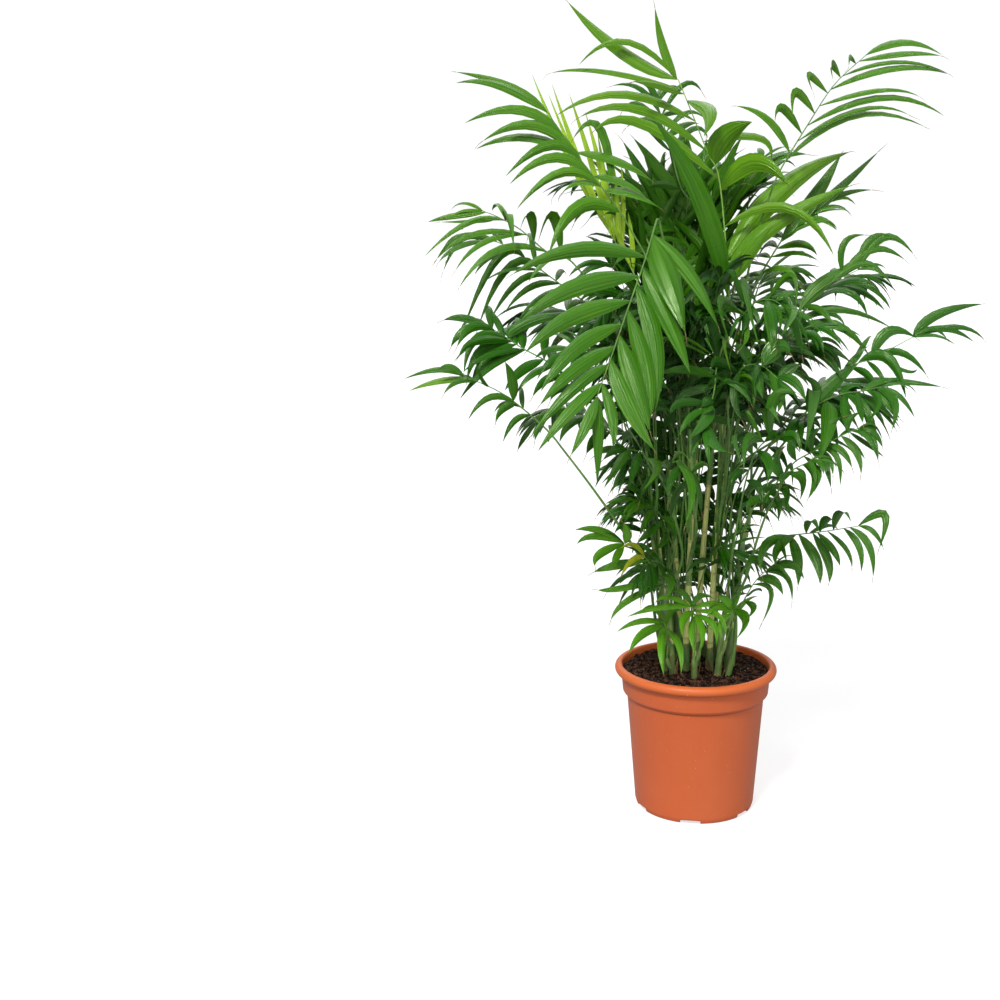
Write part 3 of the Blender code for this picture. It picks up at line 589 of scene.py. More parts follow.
        (762, 440, 775, 436, 775, 456, 11, 40, "deep"), (756, 432, 748, 411, 757, 425, 6, 30, "fresh"),
        (770, 425, 775, 398, 797, 396, 15, 20), (770, 430, 768, 410, 780, 424, 12, 40),
        (778, 440, 793, 436, 800, 452, 12, 20, "deep"), (748, 470, 735, 476, 731, 498, 11, 20, "dark"),
        (746, 480, 758, 486, 762, 505, 11, 20, "dark"), (757, 451, 768, 460, 768, 482, 12, 30, "deep"),
    ),
    "front_low": (
        0, "dark", (676, 462, 691, 484, 685, 526, 11, 60, "hanging"),
        (672, 463, 681, 453, 692, 468, 6, 50, "fresh"), (692, 475, 703, 464, 711, 478, 7, 40, "mature"),
        (684, 464, 672, 478, 668, 500, 10, 20, "deep"), (690, 480, 676, 494, 671, 520, 10),
        (688, 470, 698, 486, 702, 512, 10),
    ),
    "front_low_left": (
        60, "hanging", (648, 457, 656, 466, 643, 490, 14, 60, "tuft"), (657, 465, 667, 466, 659, 492, 12),
        (630, 450, 622, 458, 604, 488, 14), (640, 452, 636, 464, 629, 488, 12, 50, "deep"),
        (628, 449, 617, 449, 603, 460, 11, 30, "deep"), (625, 450, 606, 468, 595, 488, 6, 30, "dark"),
        (620, 451, 608, 448, 594, 456, 9, 20, "mature"), (660, 474, 648, 482, 640, 500, 10, 20, "deep"),
        (664, 490, 676, 494, 680, 512, 10, 20, "dark"),
    ),
    "left_lowest": (
        30, "hanging", (649, 503, 638, 491, 627, 488, 10, 20, "mature"),
        (651, 505, 637, 502, 625, 514, 9, 20), (653, 511, 638, 506, 625, 522, 11),
        (640, 501, 626, 480, 611, 491, 5, 0, "deep"), (638, 501, 626, 493, 613, 499, 4, 0, "deep"),
        (662, 520, 650, 531, 637, 543, 12, 40, "mature"), (655, 512, 646, 520, 641, 535, 9),
        (668, 532, 664, 541, 653, 551, 10, 40, "mature"), (660, 516, 672, 524, 674, 542, 11, 40),
    ),
    "right_middle": (
        -20, "deep", (806, 412, 814, 393, 805, 451, 16, 60, "mature"),
        (826, 402, 829, 420, 819, 461, 21, 60, "mature"), (845, 394, 846, 412, 849, 434, 13, 40),
        (857, 392, 860, 406, 863, 423, 11, 40), (869, 389, 878, 401, 868, 422, 10, 30),
        (876, 388, 894, 401, 892, 430, 11, 30), (860, 391, 880, 382, 901, 378, 11, 0),
        (840, 396, 872, 408, 891, 442, 6), (846, 394, 874, 398, 900, 419, 6),
        (850, 393, 880, 404, 901, 430, 9), (822, 403, 838, 407, 852, 412, 9, 0, "dark"),
        (812, 408, 832, 384, 859, 363, 19, 0), (800, 418, 791, 428, 783, 446, 12, 30),
        (815, 406, 817, 388, 806, 376, 13, 0),
    ),
    "right_low": (
        20, "mature", (859, 429, 870, 426, 878, 434, 6, 0), (858, 429, 872, 438, 878, 461, 10),
        (850, 433, 868, 444, 884, 457, 7, 0), (842, 437, 855, 445, 865, 459, 8, 0),
        (842, 437, 857, 453, 861, 474, 9), (827, 445, 842, 451, 852, 468, 9),
        (821, 449, 837, 457, 840, 486, 8), (818, 451, 829, 458, 833, 475, 9),
        (804, 457, 816, 468, 816, 487, 8), (834, 440, 832, 425, 843, 417, 10, 0, "deep"),
        (814, 451, 812, 436, 822, 428, 11, 0, "deep"), (796, 460, 792, 444, 803, 434, 12, 0, "deep"),
        (783, 473, 778, 458, 786, 446, 12, 0, "deep"), (848, 433, 850, 420, 861, 412, 8, 0, "deep"),
    ),
    "right_drooping": (
        30, "mature", (802, 464, 816, 473, 808, 499, 14), (788, 474, 801, 478, 800, 500, 12),
        (796, 469, 805, 474, 803, 486, 7, 0), (792, 472, 784, 476, 780, 484, 9),
        (776, 486, 786, 492, 786, 510, 10, 20, "deep"), (776, 486, 766, 488, 760, 502, 11, 20, "deep"),
        (768, 496, 778, 504, 778, 522, 10, 20), (782, 480, 774, 466, 764, 462, 12, 0, "deep"),
        (766, 498, 754, 500, 747, 514, 10, 20),
    ),
    "back_upper_right": (
        0, "mature", (788, 232, 832, 194, 878, 152, 15), (782, 242, 812, 200, 841, 154, 21),
        (800, 220, 836, 196, 872, 190, 10),
    ),
    "back_high": (
        0, "deep", (668, 150, 650, 120, 626, 128, 9), (664, 132, 640, 104, 622, 112, 9),
        (660, 116, 640, 88, 612, 86, 9), (658, 108, 650, 86, 632, 82, 9), (658, 104, 668, 88, 684, 90, 9),
        (662, 116, 684, 84, 702, 92, 9), (666, 132, 686, 112, 704, 118, 9), (670, 150, 694, 128, 708, 138, 9),
    ),
}


# Rachises measured on the photograph, in pixels from where leaflets start to the end
DRAWN = {
    "crown": ((729, 298), (720, 184), (707, 151), (681, 86), (677, 79)),
    "top_left": ((638, 242), (620, 212), (600, 185), (572, 148), (546, 110)),
    "spear": ((641, 290), (630, 266), (614, 240), (603, 222)),
    "hanging": ((658, 219), (653, 233), (644, 263), (625, 317), (612, 355), (600, 388), (597, 397)),
    "top_right": ((770, 195), (776, 179), (786, 160), (807, 126), (834, 85), (866, 55)),
    "left_upper": ((572, 262), (547, 252), (521, 230), (498, 217), (483, 211)),
    "left_behind": ((582, 300), (560, 284), (530, 262), (500, 243), (479, 240)),
    "left_low": ((548, 431), (522, 408), (498, 391), (464, 376)),
    "left_dark": ((575, 385), (553, 365), (522, 348), (507, 338), (486, 325)),
    "right_far": ((800, 425), (820, 398), (839, 376), (856, 364), (873, 358), (913, 337)),
    "right_upper": ((768, 372), (780, 348), (790, 328), (803, 306), (823, 287), (858, 270)),
    "right_middle": ((790, 428), (806, 412), (822, 402), (842, 394), (862, 391), (880, 387)),
    "right_low": (
        (752, 510), (769, 492), (783, 475), (796, 461), (814, 451), (830, 442), (847, 433), (859, 428),
    ),
    "right_drooping": ((768, 510), (778, 492), (788, 474), (800, 466), (810, 462)),
    "right_lowest": ((766, 543), (777, 537), (820, 532), (859, 526)),
    "foot_right": ((742, 604), (752, 586), (762, 574), (770, 569)),
    "foot_left": ((668, 590), (655, 570), (640, 552), (624, 543)),
    "front_left": ((652, 470), (636, 440), (618, 415), (602, 402)),
    "tuft_left": ((668, 634), (666, 628), (664, 622)),
    "tuft_front": ((696, 622), (694, 614), (692, 606)),
    "tuft_right": ((731, 628), (732, 618), (732, 609)),
    "left_lowest": ((672, 545), (663, 520), (655, 508), (645, 502), (635, 500)),
    "front_high": ((733, 345), (742, 318), (756, 302), (772, 300), (784, 307)),
    "front_right": ((728, 402), (734, 380), (746, 366), (762, 366), (778, 379)),
    "front_middle": ((717, 366), (714, 392), (708, 412), (704, 428)),
    "front_low_right": ((738, 520), (746, 480), (756, 452), (768, 440), (780, 440)),
    "front_low": ((696, 520), (693, 490), (688, 470), (680, 461), (672, 463)),
    "front_low_left": ((660, 476), (650, 461), (638, 451), (622, 450)),
    "back_upper_right": ((768, 262), (782, 240), (796, 222), (808, 212)),
    "back_high_right": ((742, 240), (748, 205), (754, 175), (762, 158)),
    "back_high": ((682, 190), (672, 155), (663, 122), (657, 102)),
}


# Petioles measured on the photograph, in pixels from near the cane to where leaflets start
WAYS = {
    "crown": ((727, 400), (729, 372), (728, 335)),
    "hanging": ((690, 430), (687, 350), (677, 290), (663, 238)),
    "front_middle": ((713, 430), (720, 380), (724, 346)),
    "left_upper": ((683, 470), (678, 447), (670, 420), (656, 394), (618, 322)),
    "left_low": ((642, 560), (623, 531), (604, 504), (585, 478), (565, 452)),
    "right_far": ((741, 510), (755, 485), (773, 456)),
    "right_drooping": ((745, 580), (757, 540)),
    "right_low": ((739, 548),),
    "tuft_right": ((702, 640), (713, 622)),
    "front_low_left": ((682, 560), (676, 522), (668, 495)),
    "front_right": ((726, 480), (729, 440)),
    "back_high": ((726, 330), (716, 265), (701, 214)),
}


def length_property(name, description, default):
    return FloatProperty(
        name=name, description=description, default=default, min=0.0, precision=4, unit="LENGTH"
    )


def share_property(name, description, default):
    return FloatProperty(name=name, description=description, default=default, min=0.0, subtype="FACTOR")


def angle_property(name, description, default):
    return FloatProperty(name=name, description=description, default=default, subtype="ANGLE")


def plain_property(name, description, default):
    return FloatProperty(name=name, description=description, default=default, min=0.0)


def colour_property(name, description, default):
    return FloatVectorProperty(
        name=name, description=description, default=default, size=3, min=0.0, max=1.0, subtype="COLOR"
    )


class PotLook(PropertyGroup):
    """Sizes and colours of the pot."""

    height: length_property("Height", "Height of the pot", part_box("pot")[1].z)
    wall: length_property("Wall", "Thickness of the pot's wall", 0.0022)
    steps: IntProperty(name="Steps", description="Sides of the turned pot", default=144, min=12)
    colour: colour_property("Plastic", "Colour of the plastic", (0.560, 0.113, 0.034))
    faded: colour_property("Faded plastic", "Colour of paler patches", (0.605, 0.142, 0.049))
    # The rim's own more orange plastic, made lighter in part as a painted highlight
    rim_colour_and_highlight: colour_property("Rim", "Colour of the rolled rim", (0.640, 0.140, 0.031))


class SoilLook(PropertyGroup):
    """Sizes and colours of the soil."""

    crumb: length_property("Crumb", "Radius of a large crumb", 0.0038)
    crumbs: plain_property("Crumbs", "Crumbs to a square metre", 80000.0)
    perlite: IntProperty(name="Perlite", description="Number of perlite grains", default=9, min=0)
    colour: colour_property("Peat", "Colour of moist peat", (0.016, 0.009, 0.006))
    crumb_colour: colour_property("Crumb peat", "Colour of its crumbs", (0.055, 0.026, 0.015))
    perlite_colour: colour_property("Perlite", "Colour of the perlite grains", (0.72, 0.70, 0.64))


class StemLook(PropertyGroup):
    """Sizes and colours of canes, sheaths and petioles."""

    ring_gap: length_property("Ring gap", "Distance between a cane's rings", 0.030)
    ring_swell: share_property("Ring swell", "How far a ring stands out, as a share of the radius", 0.09)
    cane_colour: colour_property("Cane", "Colour of the canes", (0.80, 0.80, 0.28))
    ring_colour: colour_property("Ring", "Colour of the rings on the canes", (0.42, 0.38, 0.14))
    petiole_colour: colour_property("Petiole", "Colour of petioles and rachises", (0.09, 0.22, 0.04))
    young_colour: colour_property("Young petiole", "Colour of the youngest petioles", (0.30, 0.50, 0.08))
    sheath_colour: colour_property("Sheath", "Colour of the sheaths", (0.15, 0.28, 0.08))
    foot_colour: colour_property("Foot sheath", "Colour of the sheaths at the soil", (0.095, 0.205, 0.050))
    dry_colour: colour_property("Dry sheath", "Colour of dry sheaths and leaf tips", (0.27, 0.17, 0.075))


class LeafLook(PropertyGroup):
    """Sizes and colours of the leaflets."""

    length: share_property("Length", "Leaflet length, as a share of the usual", 1.0)
    width: share_property("Width", "Leaflet width, as a share of the usual", 1.0)
    fold: angle_property("Fold", "How far a leaflet folds down at its midrib", radians(24))
    gloss: share_property("Roughness", "Roughness of a leaflet's upper side", 0.25)
    crown: colour_property("Crown", "Colour of the crown's leaflets", (0.082, 0.240, 0.003))
    fresh: colour_property("Fresh", "Colour of fresh leaflets", (0.060, 0.212, 0.006))
    hanging: colour_property("Hanging", "Colour of the large hanging frond", (0.038, 0.162, 0.003))
    mature: colour_property("Mature", "Colour of mature leaflets", (0.031, 0.143, 0.004))
    deep: colour_property("Deep", "Colour of deep green leaflets", (0.019, 0.12, 0.002))
    dark: colour_property("Dark", "Colour of the oldest inner leaflets", (0.0115, 0.078, 0.002))
    tuft: colour_property("Tuft", "Colour of the bright leaflets at the foot", (0.085, 0.290, 0.008))
    spear: colour_property("Spear", "Colour of the unopened leaflets", (0.380, 0.640, 0.040))
    yellowing: colour_property("Yellowing", "Colour of yellowed leaflets", (0.330, 0.410, 0.018))


class StageLook(PropertyGroup):
    """Floor, background and lights."""

    floor: colour_property("Floor", "Colour of the floor", (0.40, 0.40, 0.40))
    lift: plain_property("Lift", "How far the floor's shadow is lightened", 0.68)
    horizon: plain_property("Horizon", "Brightness near the horizon", 0.24)
    zenith: plain_property("Zenith", "Brightness overhead", 0.55)
    key: plain_property("Key light", "Strength of the soft main light", 2.6)
    fill: plain_property("Fill light", "Strength of the light from in front", 0.85)
    back: plain_property("Back light", "Strength of the light from behind", 0.8)
    softness: angle_property("Softness", "Angle that the main light spans", radians(12))


LOOK_GROUPS = {
    "palm_pot": PotLook,
    "palm_soil": SoilLook,
    "palm_stem": StemLook,
    "palm_leaf": LeafLook,
    "palm_stage": StageLook,
}


# Node helpers


def add_nodes(tree, *kinds):
    return [tree.nodes.new(kind) for kind in kinds]


def link(tree, *pairs):
    for source, target in pairs:
        tree.links.new(source, target)


def set_inputs(node, **values):
    """Set a node's inputs by name, with _ for a space."""
    for name, value in values.items():
        node.inputs[name.replace("_", " ")].default_value = value


def surface_group(name, **more):
    """A shader node group from a place, a colour and a roughness to a colour, a roughness and a height, which
    may have more inputs; its inputs and outputs as seen from within."""
    tree = bpy.data.node_groups.new(name, "ShaderNodeTree")
    taken = {"Place": "NodeSocketVector", "Colour": "NodeSocketColor", "Roughness": "NodeSocketFloat", **more}
    for socket, kind in taken.items():
        tree.interface.new_socket(socket, in_out="INPUT", socket_type=kind)
    for socket in ("Colour", "Roughness", "Height"):
        kind = "NodeSocketColor" if socket == "Colour" else "NodeSocketFloat"
        tree.interface.new_socket(socket, in_out="OUTPUT", socket_type=kind)
    entry, leave = add_nodes(tree, "NodeGroupInput", "NodeGroupOutput")
    return tree, entry.outputs, leave.inputs


def scaled(colour, red, green=None, blue=None):
    """A colour with its channels multiplied, all by the first factor where it stands alone."""
    factors = (red, red if green is None else green, red if blue is None else blue)
    return [min(1.0, channel * factor) for channel, factor in zip(colour, factors)]


def mixed(tree, factor, first, second, blend="MIX"):
    """The colour output of a new Mix node between two colours, given as sockets or values."""
    node = tree.nodes.new("ShaderNodeMix")
    node.data_type = "RGBA"
    node.blend_type = blend
    for socket, value in ((0, factor), (6, first), (7, second)):
        if isinstance(value, bpy.types.NodeSocket):
            tree.links.new(value, node.inputs[socket])
        elif isinstance(value, float):
            node.inputs[socket].default_value = value
        else:
            node.inputs[socket].default_value = (*value, 1.0)[:4]
    return node.outputs[2]


def ranged(tree, value, low, high, to_low, to_high):
    """The output of a new Map Range node on a value."""
    node = tree.nodes.new("ShaderNodeMapRange")
    set_inputs(node, From_Min=low, From_Max=high, To_Min=to_low, To_Max=to_high)
    tree.links.new(value, node.inputs["Value"])
    return node.outputs["Result"]


def computed(tree, operation, first, second=None):
    """The output of a new Math node."""
    node = tree.nodes.new("ShaderNodeMath")
    node.operation = operation
    for socket, value in zip(node.inputs, (first, second)):
        if isinstance(value, bpy.types.NodeSocket):
            tree.links.new(value, socket)
        elif value is not None:
            socket.default_value = value
    return node.outputs[0]


def times(tree, first, second):
    return computed(tree, "MULTIPLY", first, second)


def plus(tree, first, second):
    return computed(tree, "ADD", first, second)


def object_place(tree):
    return tree.nodes.new("ShaderNodeTexCoord").outputs["Object"]


def patched(tree, colour, where, low, high, most, patch):
    """A colour that turns into another by up to the share most, as a value rises from low to high."""
    return mixed(tree, ranged(tree, where, low, high, 0.0, most), colour, patch)


def noisy(tree, vector, scale, detail=3.0, rough=0.5, stretch=None):
    """The value of a new Noise Texture on a vector, which may be stretched first."""
    if stretch:
        mapping = tree.nodes.new("ShaderNodeMapping")
        mapping.inputs["Scale"].default_value = stretch
        tree.links.new(vector, mapping.inputs["Vector"])
        vector = mapping.outputs["Vector"]
    node = tree.nodes.new("ShaderNodeTexNoise")
    set_inputs(node, Scale=scale, Detail=detail, Roughness=rough)
    tree.links.new(vector, node.inputs["Vector"])
    return node.outputs["Fac"]


def new_material(name, roughness=0.5, specular=0.5):
    """A material with a Principled shader, its tree and that shader."""
    made = bpy.data.materials.new(name)
    made.use_nodes = True
    shader = made.node_tree.nodes["Principled BSDF"]
    shader.inputs["Roughness"].default_value = roughness
    shader.inputs["Specular IOR Level"].default_value = specular
    return made, made.node_tree, shader


def bumped(tree, shader, height, strength, distance):
    node = tree.nodes.new("ShaderNodeBump")
    set_inputs(node, Strength=strength, Distance=distance)
    link(tree, (height, node.inputs["Height"]), (node.outputs["Normal"], shader.inputs["Normal"]))


def leaf_surface_group():
    """Colour, roughness and height of a leaflet's upper side: parallel veins, a paler midrib that is partly a
    painted highlight, painted shade in the valleys between pleats, and cloudy patches.
    """
    tree, given, result = surface_group("leaf_surface", UV="NodeSocketVector", Tone="NodeSocketFloat")
    uv, plain = given["UV"], given["Colour"]
    fine = noisy(tree, uv, 1.0, 2.0, 0.6, (22.0, 0.8, 1.0))
    broad = noisy(tree, uv, 1.0, 1.0, 0.5, (6.0, 0.5, 1.0))
    cloud = noisy(tree, given["Place"], 16.0, 3.0, 0.55)
    split = tree.nodes.new("ShaderNodeSeparateXYZ")
    link(tree, (uv, split.inputs[0]))
    off_middle = computed(tree, "ABSOLUTE", computed(tree, "SUBTRACT", split.outputs[0], 0.5))
    midrib = ranged(tree, off_middle, 0.012, 0.045, 1.0, 0.0)
    pleat_and_shade = computed(tree, "SINE", times(tree, split.outputs[0], 2 * pi * LEAF_PLEATS))
    pale = mixed(tree, 1.0, plain, (1.65, 1.32, 1.5), "MULTIPLY")
    dim = mixed(tree, 1.0, plain, (0.56, 0.68, 0.55), "MULTIPLY")
    warm = mixed(tree, 1.0, plain, (1.75, 1.22, 0.55), "MULTIPLY")
    colour = mixed(tree, 0.45, plain, mixed(tree, given["Tone"], dim, pale))
    colour = patched(tree, colour, cloud, 0.50, 0.72, 0.55, warm)
    colour = patched(tree, colour, fine, 0.40, 0.60, 0.72, dim)
    colour = patched(tree, colour, broad, 0.48, 0.66, 0.62, pale)
    # Painted shade: the colour darkens in the valleys between pleats, where the height below sinks
    colour = patched(tree, colour, pleat_and_shade, 0.1, 1.0, 0.14, dim)
    # Partly painted highlight: the midrib is paler in itself, and is also painted lighter along its raised
    # ridge
    colour = mixed(tree, times(tree, midrib, 0.38), colour, pale)
    height = plus(tree, fine, times(tree, broad, 1.5))
    height = plus(tree, height, times(tree, midrib, 0.8))
    height = computed(tree, "SUBTRACT", height, times(tree, pleat_and_shade, 0.25))
    rough = plus(tree, given["Roughness"], ranged(tree, cloud, 0.3, 0.7, -0.05, 0.10))
    link(tree, (colour, result["Colour"]), (rough, result["Roughness"]), (height, result["Height"]))
    return tree


def streaks_group():
    """Lengthwise streaks and blotches for stems, as a colour, a roughness and a height."""
    tree, given, result = surface_group("stem_streaks", **{"Second Colour": "NodeSocketColor"})
    streak = noisy(tree, given["Place"], 1.0, 3.0, 0.6, (900.0, 900.0, 30.0))
    blotch = noisy(tree, given["Place"], 60.0, 3.0, 0.6)
    colour = patched(tree, given["Colour"], blotch, 0.38, 0.66, 1.0, given["Second Colour"])
    shade = mixed(tree, 1.0, colour, (0.72, 0.76, 0.70), "MULTIPLY")
    colour = patched(tree, colour, streak, 0.42, 0.68, 0.7, shade)
    rough = plus(tree, given["Roughness"], ranged(tree, streak, 0.3, 0.7, -0.06, 0.10))
    height = plus(tree, streak, blotch)
    link(tree, (colour, result["Colour"]), (rough, result["Roughness"]), (height, result["Height"]))
    return tree


def grouped_material(name, surface, colour, roughness, specular, bump):
    """A material bumped by a surface group on Object coordinates; its tree, shader and group node."""
    made, tree, shader = new_material(name, roughness, specular)
    group = tree.nodes.new("ShaderNodeGroup")
    group.node_tree = surface
    set_inputs(group, Colour=(*colour, 1.0), Roughness=roughness)
    link(tree, (object_place(tree), group.inputs["Place"]))
    bumped(tree, shader, group.outputs["Height"], *bump)
    return made, tree, shader, group


def leaf_material(name, colour, roughness):
    """A leaflet's glossy, veined upper side and its paler, duller underside."""
    surface = bpy.data.node_groups.get("leaf_surface") or leaf_surface_group()
    made, tree, shader, group = grouped_material(name, surface, colour, roughness, 0.45, (0.6, 0.0008))
    shader.inputs["Specular Tint"].default_value = LEAF_SHEEN
    uv, attribute, facing = add_nodes(tree, "ShaderNodeUVMap", "ShaderNodeAttribute", "ShaderNodeNewGeometry")
    uv.uv_map = "leaf"
    attribute.attribute_name = "tone"
    link(tree, (uv.outputs["UV"], group.inputs["UV"]), (attribute.outputs["Fac"], group.inputs["Tone"]))
    under = mixed(tree, 0.45, group.outputs["Colour"], [min(1.0, 1.15 * c + 0.03) for c in colour])
    shown = mixed(tree, facing.outputs["Backfacing"], group.outputs["Colour"], under)
    dull = times(tree, facing.outputs["Backfacing"], 0.16)
    rough = plus(tree, group.outputs["Roughness"], dull)
    link(tree, (shown, shader.inputs["Base Color"]), (rough, shader.inputs["Roughness"]))
    return made


def stem_material(name, colour, second, roughness, ring_colour=None):
    """A streaked stem, with darker rings where the attribute ring says so."""
    surface = bpy.data.node_groups.get("stem_streaks") or streaks_group()
    made, tree, shader, group = grouped_material(name, surface, colour, roughness, 0.4, (0.35, 0.0004))
    group.inputs["Second Colour"].default_value = (*second, 1.0)
    shown = group.outputs["Colour"]
    if ring_colour:
        attribute = tree.nodes.new("ShaderNodeAttribute")
        attribute.attribute_name = "ring"
        shown = mixed(tree, attribute.outputs["Fac"], shown, ring_colour)
    link(tree, (shown, shader.inputs["Base Color"]), (group.outputs["Roughness"], shader.inputs["Roughness"]))
    return made


# Mesh helpers


def mesh_piece(name, points, faces, material, uvs=None, tones=None, smooth=True):
    """A mesh object at the origin, with its UV map and its tone attribute where given."""
    mesh = bpy.data.meshes.new(name)
    mesh.from_pydata(np.asarray(points).tolist(), [], faces if isinstance(faces, list) else faces.tolist())
    mesh.materials.append(material)
    if smooth:
        mesh.shade_smooth()
    if uvs is not None:
        corners = np.empty(len(mesh.loops), dtype=np.int32)
        mesh.loops.foreach_get("vertex_index", corners)
        layer = mesh.uv_layers.new(name="leaf")
        layer.data.foreach_set("uv", np.asarray(uvs, dtype=np.float32)[corners].ravel())
    if tones is not None:
        attribute = mesh.attributes.new("tone", "FLOAT", "POINT")
        attribute.data.foreach_set("value", np.asarray(tones, dtype=np.float32))
    return placed(name, mesh)


def placed(name, data):
    made = bpy.data.objects.new(name, data)
    bpy.context.scene.collection.objects.link(made)
    return made


def mesh_of(name, shape, material):
    """A mesh with a material, made from a bmesh, which is freed."""
    mesh = bpy.data.meshes.new(name)
    shape.to_mesh(mesh)
    shape.free()
    mesh.materials.append(material)
    return mesh


def ring_points(radius, height, steps):
    """Points of a level circle about Z."""
    turns = (2 * pi * i / steps for i in range(steps))
    return [(radius * cos(turn), radius * sin(turn), height) for turn in turns]


def grid_faces(spot):
    """Four-sided faces between neighbours in grids of point numbers."""
    corners = [spot[..., :-1, :-1], spot[..., :-1, 1:], spot[..., 1:, 1:], spot[..., 1:, :-1]]
    return np.stack(corners, axis=-1).reshape(-1, 4)


def plain_mesh(thing):
    """The evaluated mesh of an object, which is then removed with its modifiers."""
    graph = bpy.context.evaluated_depsgraph_get()
    mesh = bpy.data.meshes.new_from_object(thing.evaluated_get(graph))
    bpy.data.objects.remove(thing, do_unlink=True)
    return mesh


def settle(piece, slot, *nodes):
    """The piece rides on the body and stands for these nodes, whose parts are hidden; the slot is not used.
    """
    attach(piece, BODY)
    if nodes:
        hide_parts(*nodes)
    return piece


def grown(name, mesh, tree, values):
    """A plain mesh object made by a Geometry Nodes tree from a mesh, its named inputs set first."""
    holder = placed(f"{name}_source", mesh)
    modifier = holder.modifiers.new("grow", "NODES")
    modifier.node_group = tree
    for socket in tree.interface.items_tree:
        if socket.in_out == "INPUT" and socket.name in values:
            modifier[socket.identifier] = values[socket.name]
    made = plain_mesh(holder)
    made.name = name
    return placed(name, made)


def geometry_tree(name, inputs):
    """An empty Geometry Nodes tree with these inputs besides its geometry, and both its ends from within."""
    tree = bpy.data.node_groups.new(name, "GeometryNodeTree")
    tree.interface.new_socket("Geometry", in_out="INPUT", socket_type="NodeSocketGeometry")
    for socket, kind in inputs.items():
        tree.interface.new_socket(socket, in_out="INPUT", socket_type=kind)
    tree.interface.new_socket("Geometry", in_out="OUTPUT", socket_type="NodeSocketGeometry")
    entry, leave = add_nodes(tree, "NodeGroupInput", "NodeGroupOutput")
    return tree, entry.outputs, leave.inputs


def tube_tree():
    """Round tubes along every line of edges, as thick as the attribute thickness says."""
    inputs = {"Sides": "NodeSocketInt", "Material": "NodeSocketMaterial"}
    tree, given, result = geometry_tree("tube_along_line", inputs)
    to_curve, circle, thickness, to_mesh, realize, shade, finish = add_nodes(
        tree,
        "GeometryNodeMeshToCurve",
        "GeometryNodeCurvePrimitiveCircle",
        "GeometryNodeInputNamedAttribute",
        "GeometryNodeCurveToMesh",
        "GeometryNodeRealizeInstances",
        "GeometryNodeSetShadeSmooth",
        "GeometryNodeSetMaterial",
    )
    thickness.data_type = "FLOAT"
    thickness.inputs["Name"].default_value = "thickness"
    circle.inputs["Radius"].default_value = 1.0
    to_mesh.inputs["Fill Caps"].default_value = True
    link(
        tree,
        (given["Geometry"], to_curve.inputs[0]),
        (given["Sides"], circle.inputs["Resolution"]),
        (to_curve.outputs[0], to_mesh.inputs["Curve"]),
        (circle.outputs["Curve"], to_mesh.inputs["Profile Curve"]),
        (thickness.outputs["Attribute"], to_mesh.inputs["Scale"]),
        (to_mesh.outputs[0], shade.inputs["Geometry"]),
        (shade.outputs[0], realize.inputs["Geometry"]),
        (realize.outputs[0], finish.inputs["Geometry"]),
        (given["Material"], finish.inputs["Material"]),
        (finish.outputs[0], result[0]),
    )
    return tree


def crumb_tree():
    """Angular crumbs scattered over a surface, each turned and stretched in its own way."""
    inputs = {
        "Density": "NodeSocketFloat",
        "Radius": "NodeSocketFloat",
        "Seed": "NodeSocketInt",
        "Material": "NodeSocketMaterial",
    }
    tree, given, result = geometry_tree("scattered_crumbs", inputs)
    scatter, ball, turn, stretch, on_points, realize, finish, size = add_nodes(
        tree,
        "GeometryNodeDistributePointsOnFaces",
        "GeometryNodeMeshIcoSphere",
        "FunctionNodeRandomValue",
        "FunctionNodeRandomValue",
        "GeometryNodeInstanceOnPoints",
        "GeometryNodeRealizeInstances",
        "GeometryNodeSetMaterial",
        "ShaderNodeVectorMath",
    )
    ball.inputs["Subdivisions"].default_value = 1
    ball.inputs["Radius"].default_value = 1.0
    turn.data_type = stretch.data_type = "FLOAT_VECTOR"
    set_inputs(turn, Min=(0.0, 0.0, 0.0), Max=(2 * pi, 2 * pi, 2 * pi))
    set_inputs(stretch, Min=(0.35, 0.22, 0.18), Max=(1.0, 0.8, 0.55))
    size.operation = "SCALE"
    link(
        tree,
        (given["Geometry"], scatter.inputs["Mesh"]),
        (given["Density"], scatter.inputs["Density"]),
        (given["Seed"], scatter.inputs["Seed"]),
        (given["Seed"], turn.inputs["Seed"]),
        (given["Seed"], stretch.inputs["Seed"]),
        (stretch.outputs["Value"], size.inputs[0]),
        (given["Radius"], size.inputs["Scale"]),
        (scatter.outputs["Points"], on_points.inputs["Points"]),
        (ball.outputs["Mesh"], on_points.inputs["Instance"]),
        (turn.outputs["Value"], on_points.inputs["Rotation"]),
        (size.outputs[0], on_points.inputs["Scale"]),
        (on_points.outputs[0], realize.inputs["Geometry"]),
        (realize.outputs[0], finish.inputs["Geometry"]),
        (given["Material"], finish.inputs["Material"]),
        (finish.outputs[0], result[0]),
    )
    return tree


def line_mesh(name, lines):
    """A mesh of edges through each line of (points, radii, rings), with thickness and ring attributes."""
    points, edges, thickness, rings = [], [], [], []
    for line, radii, marks in lines:
        first = len(points)
        points += [tuple(point) for point in line]
        edges += [(first + i, first + i + 1) for i in range(len(line) - 1)]
        thickness += list(radii)
        rings += list(marks)
    mesh = bpy.data.meshes.new(name)
    mesh.from_pydata(points, edges, [])
    for label, values in (("thickness", thickness), ("ring", rings)):
        attribute = mesh.attributes.new(label, "FLOAT", "POINT")
        attribute.data.foreach_set("value", np.asarray(values, dtype=np.float32))
    return mesh


def tubes(name, lines, sides, material):
    tree = bpy.data.node_groups.get("tube_along_line") or tube_tree()
    return grown(name, line_mesh(name, lines), tree, {"Sides": sides, "Material": material})


# The plant's own lines


def cane_named(name):
    return next(cane for cane in CANES if cane.name == name)


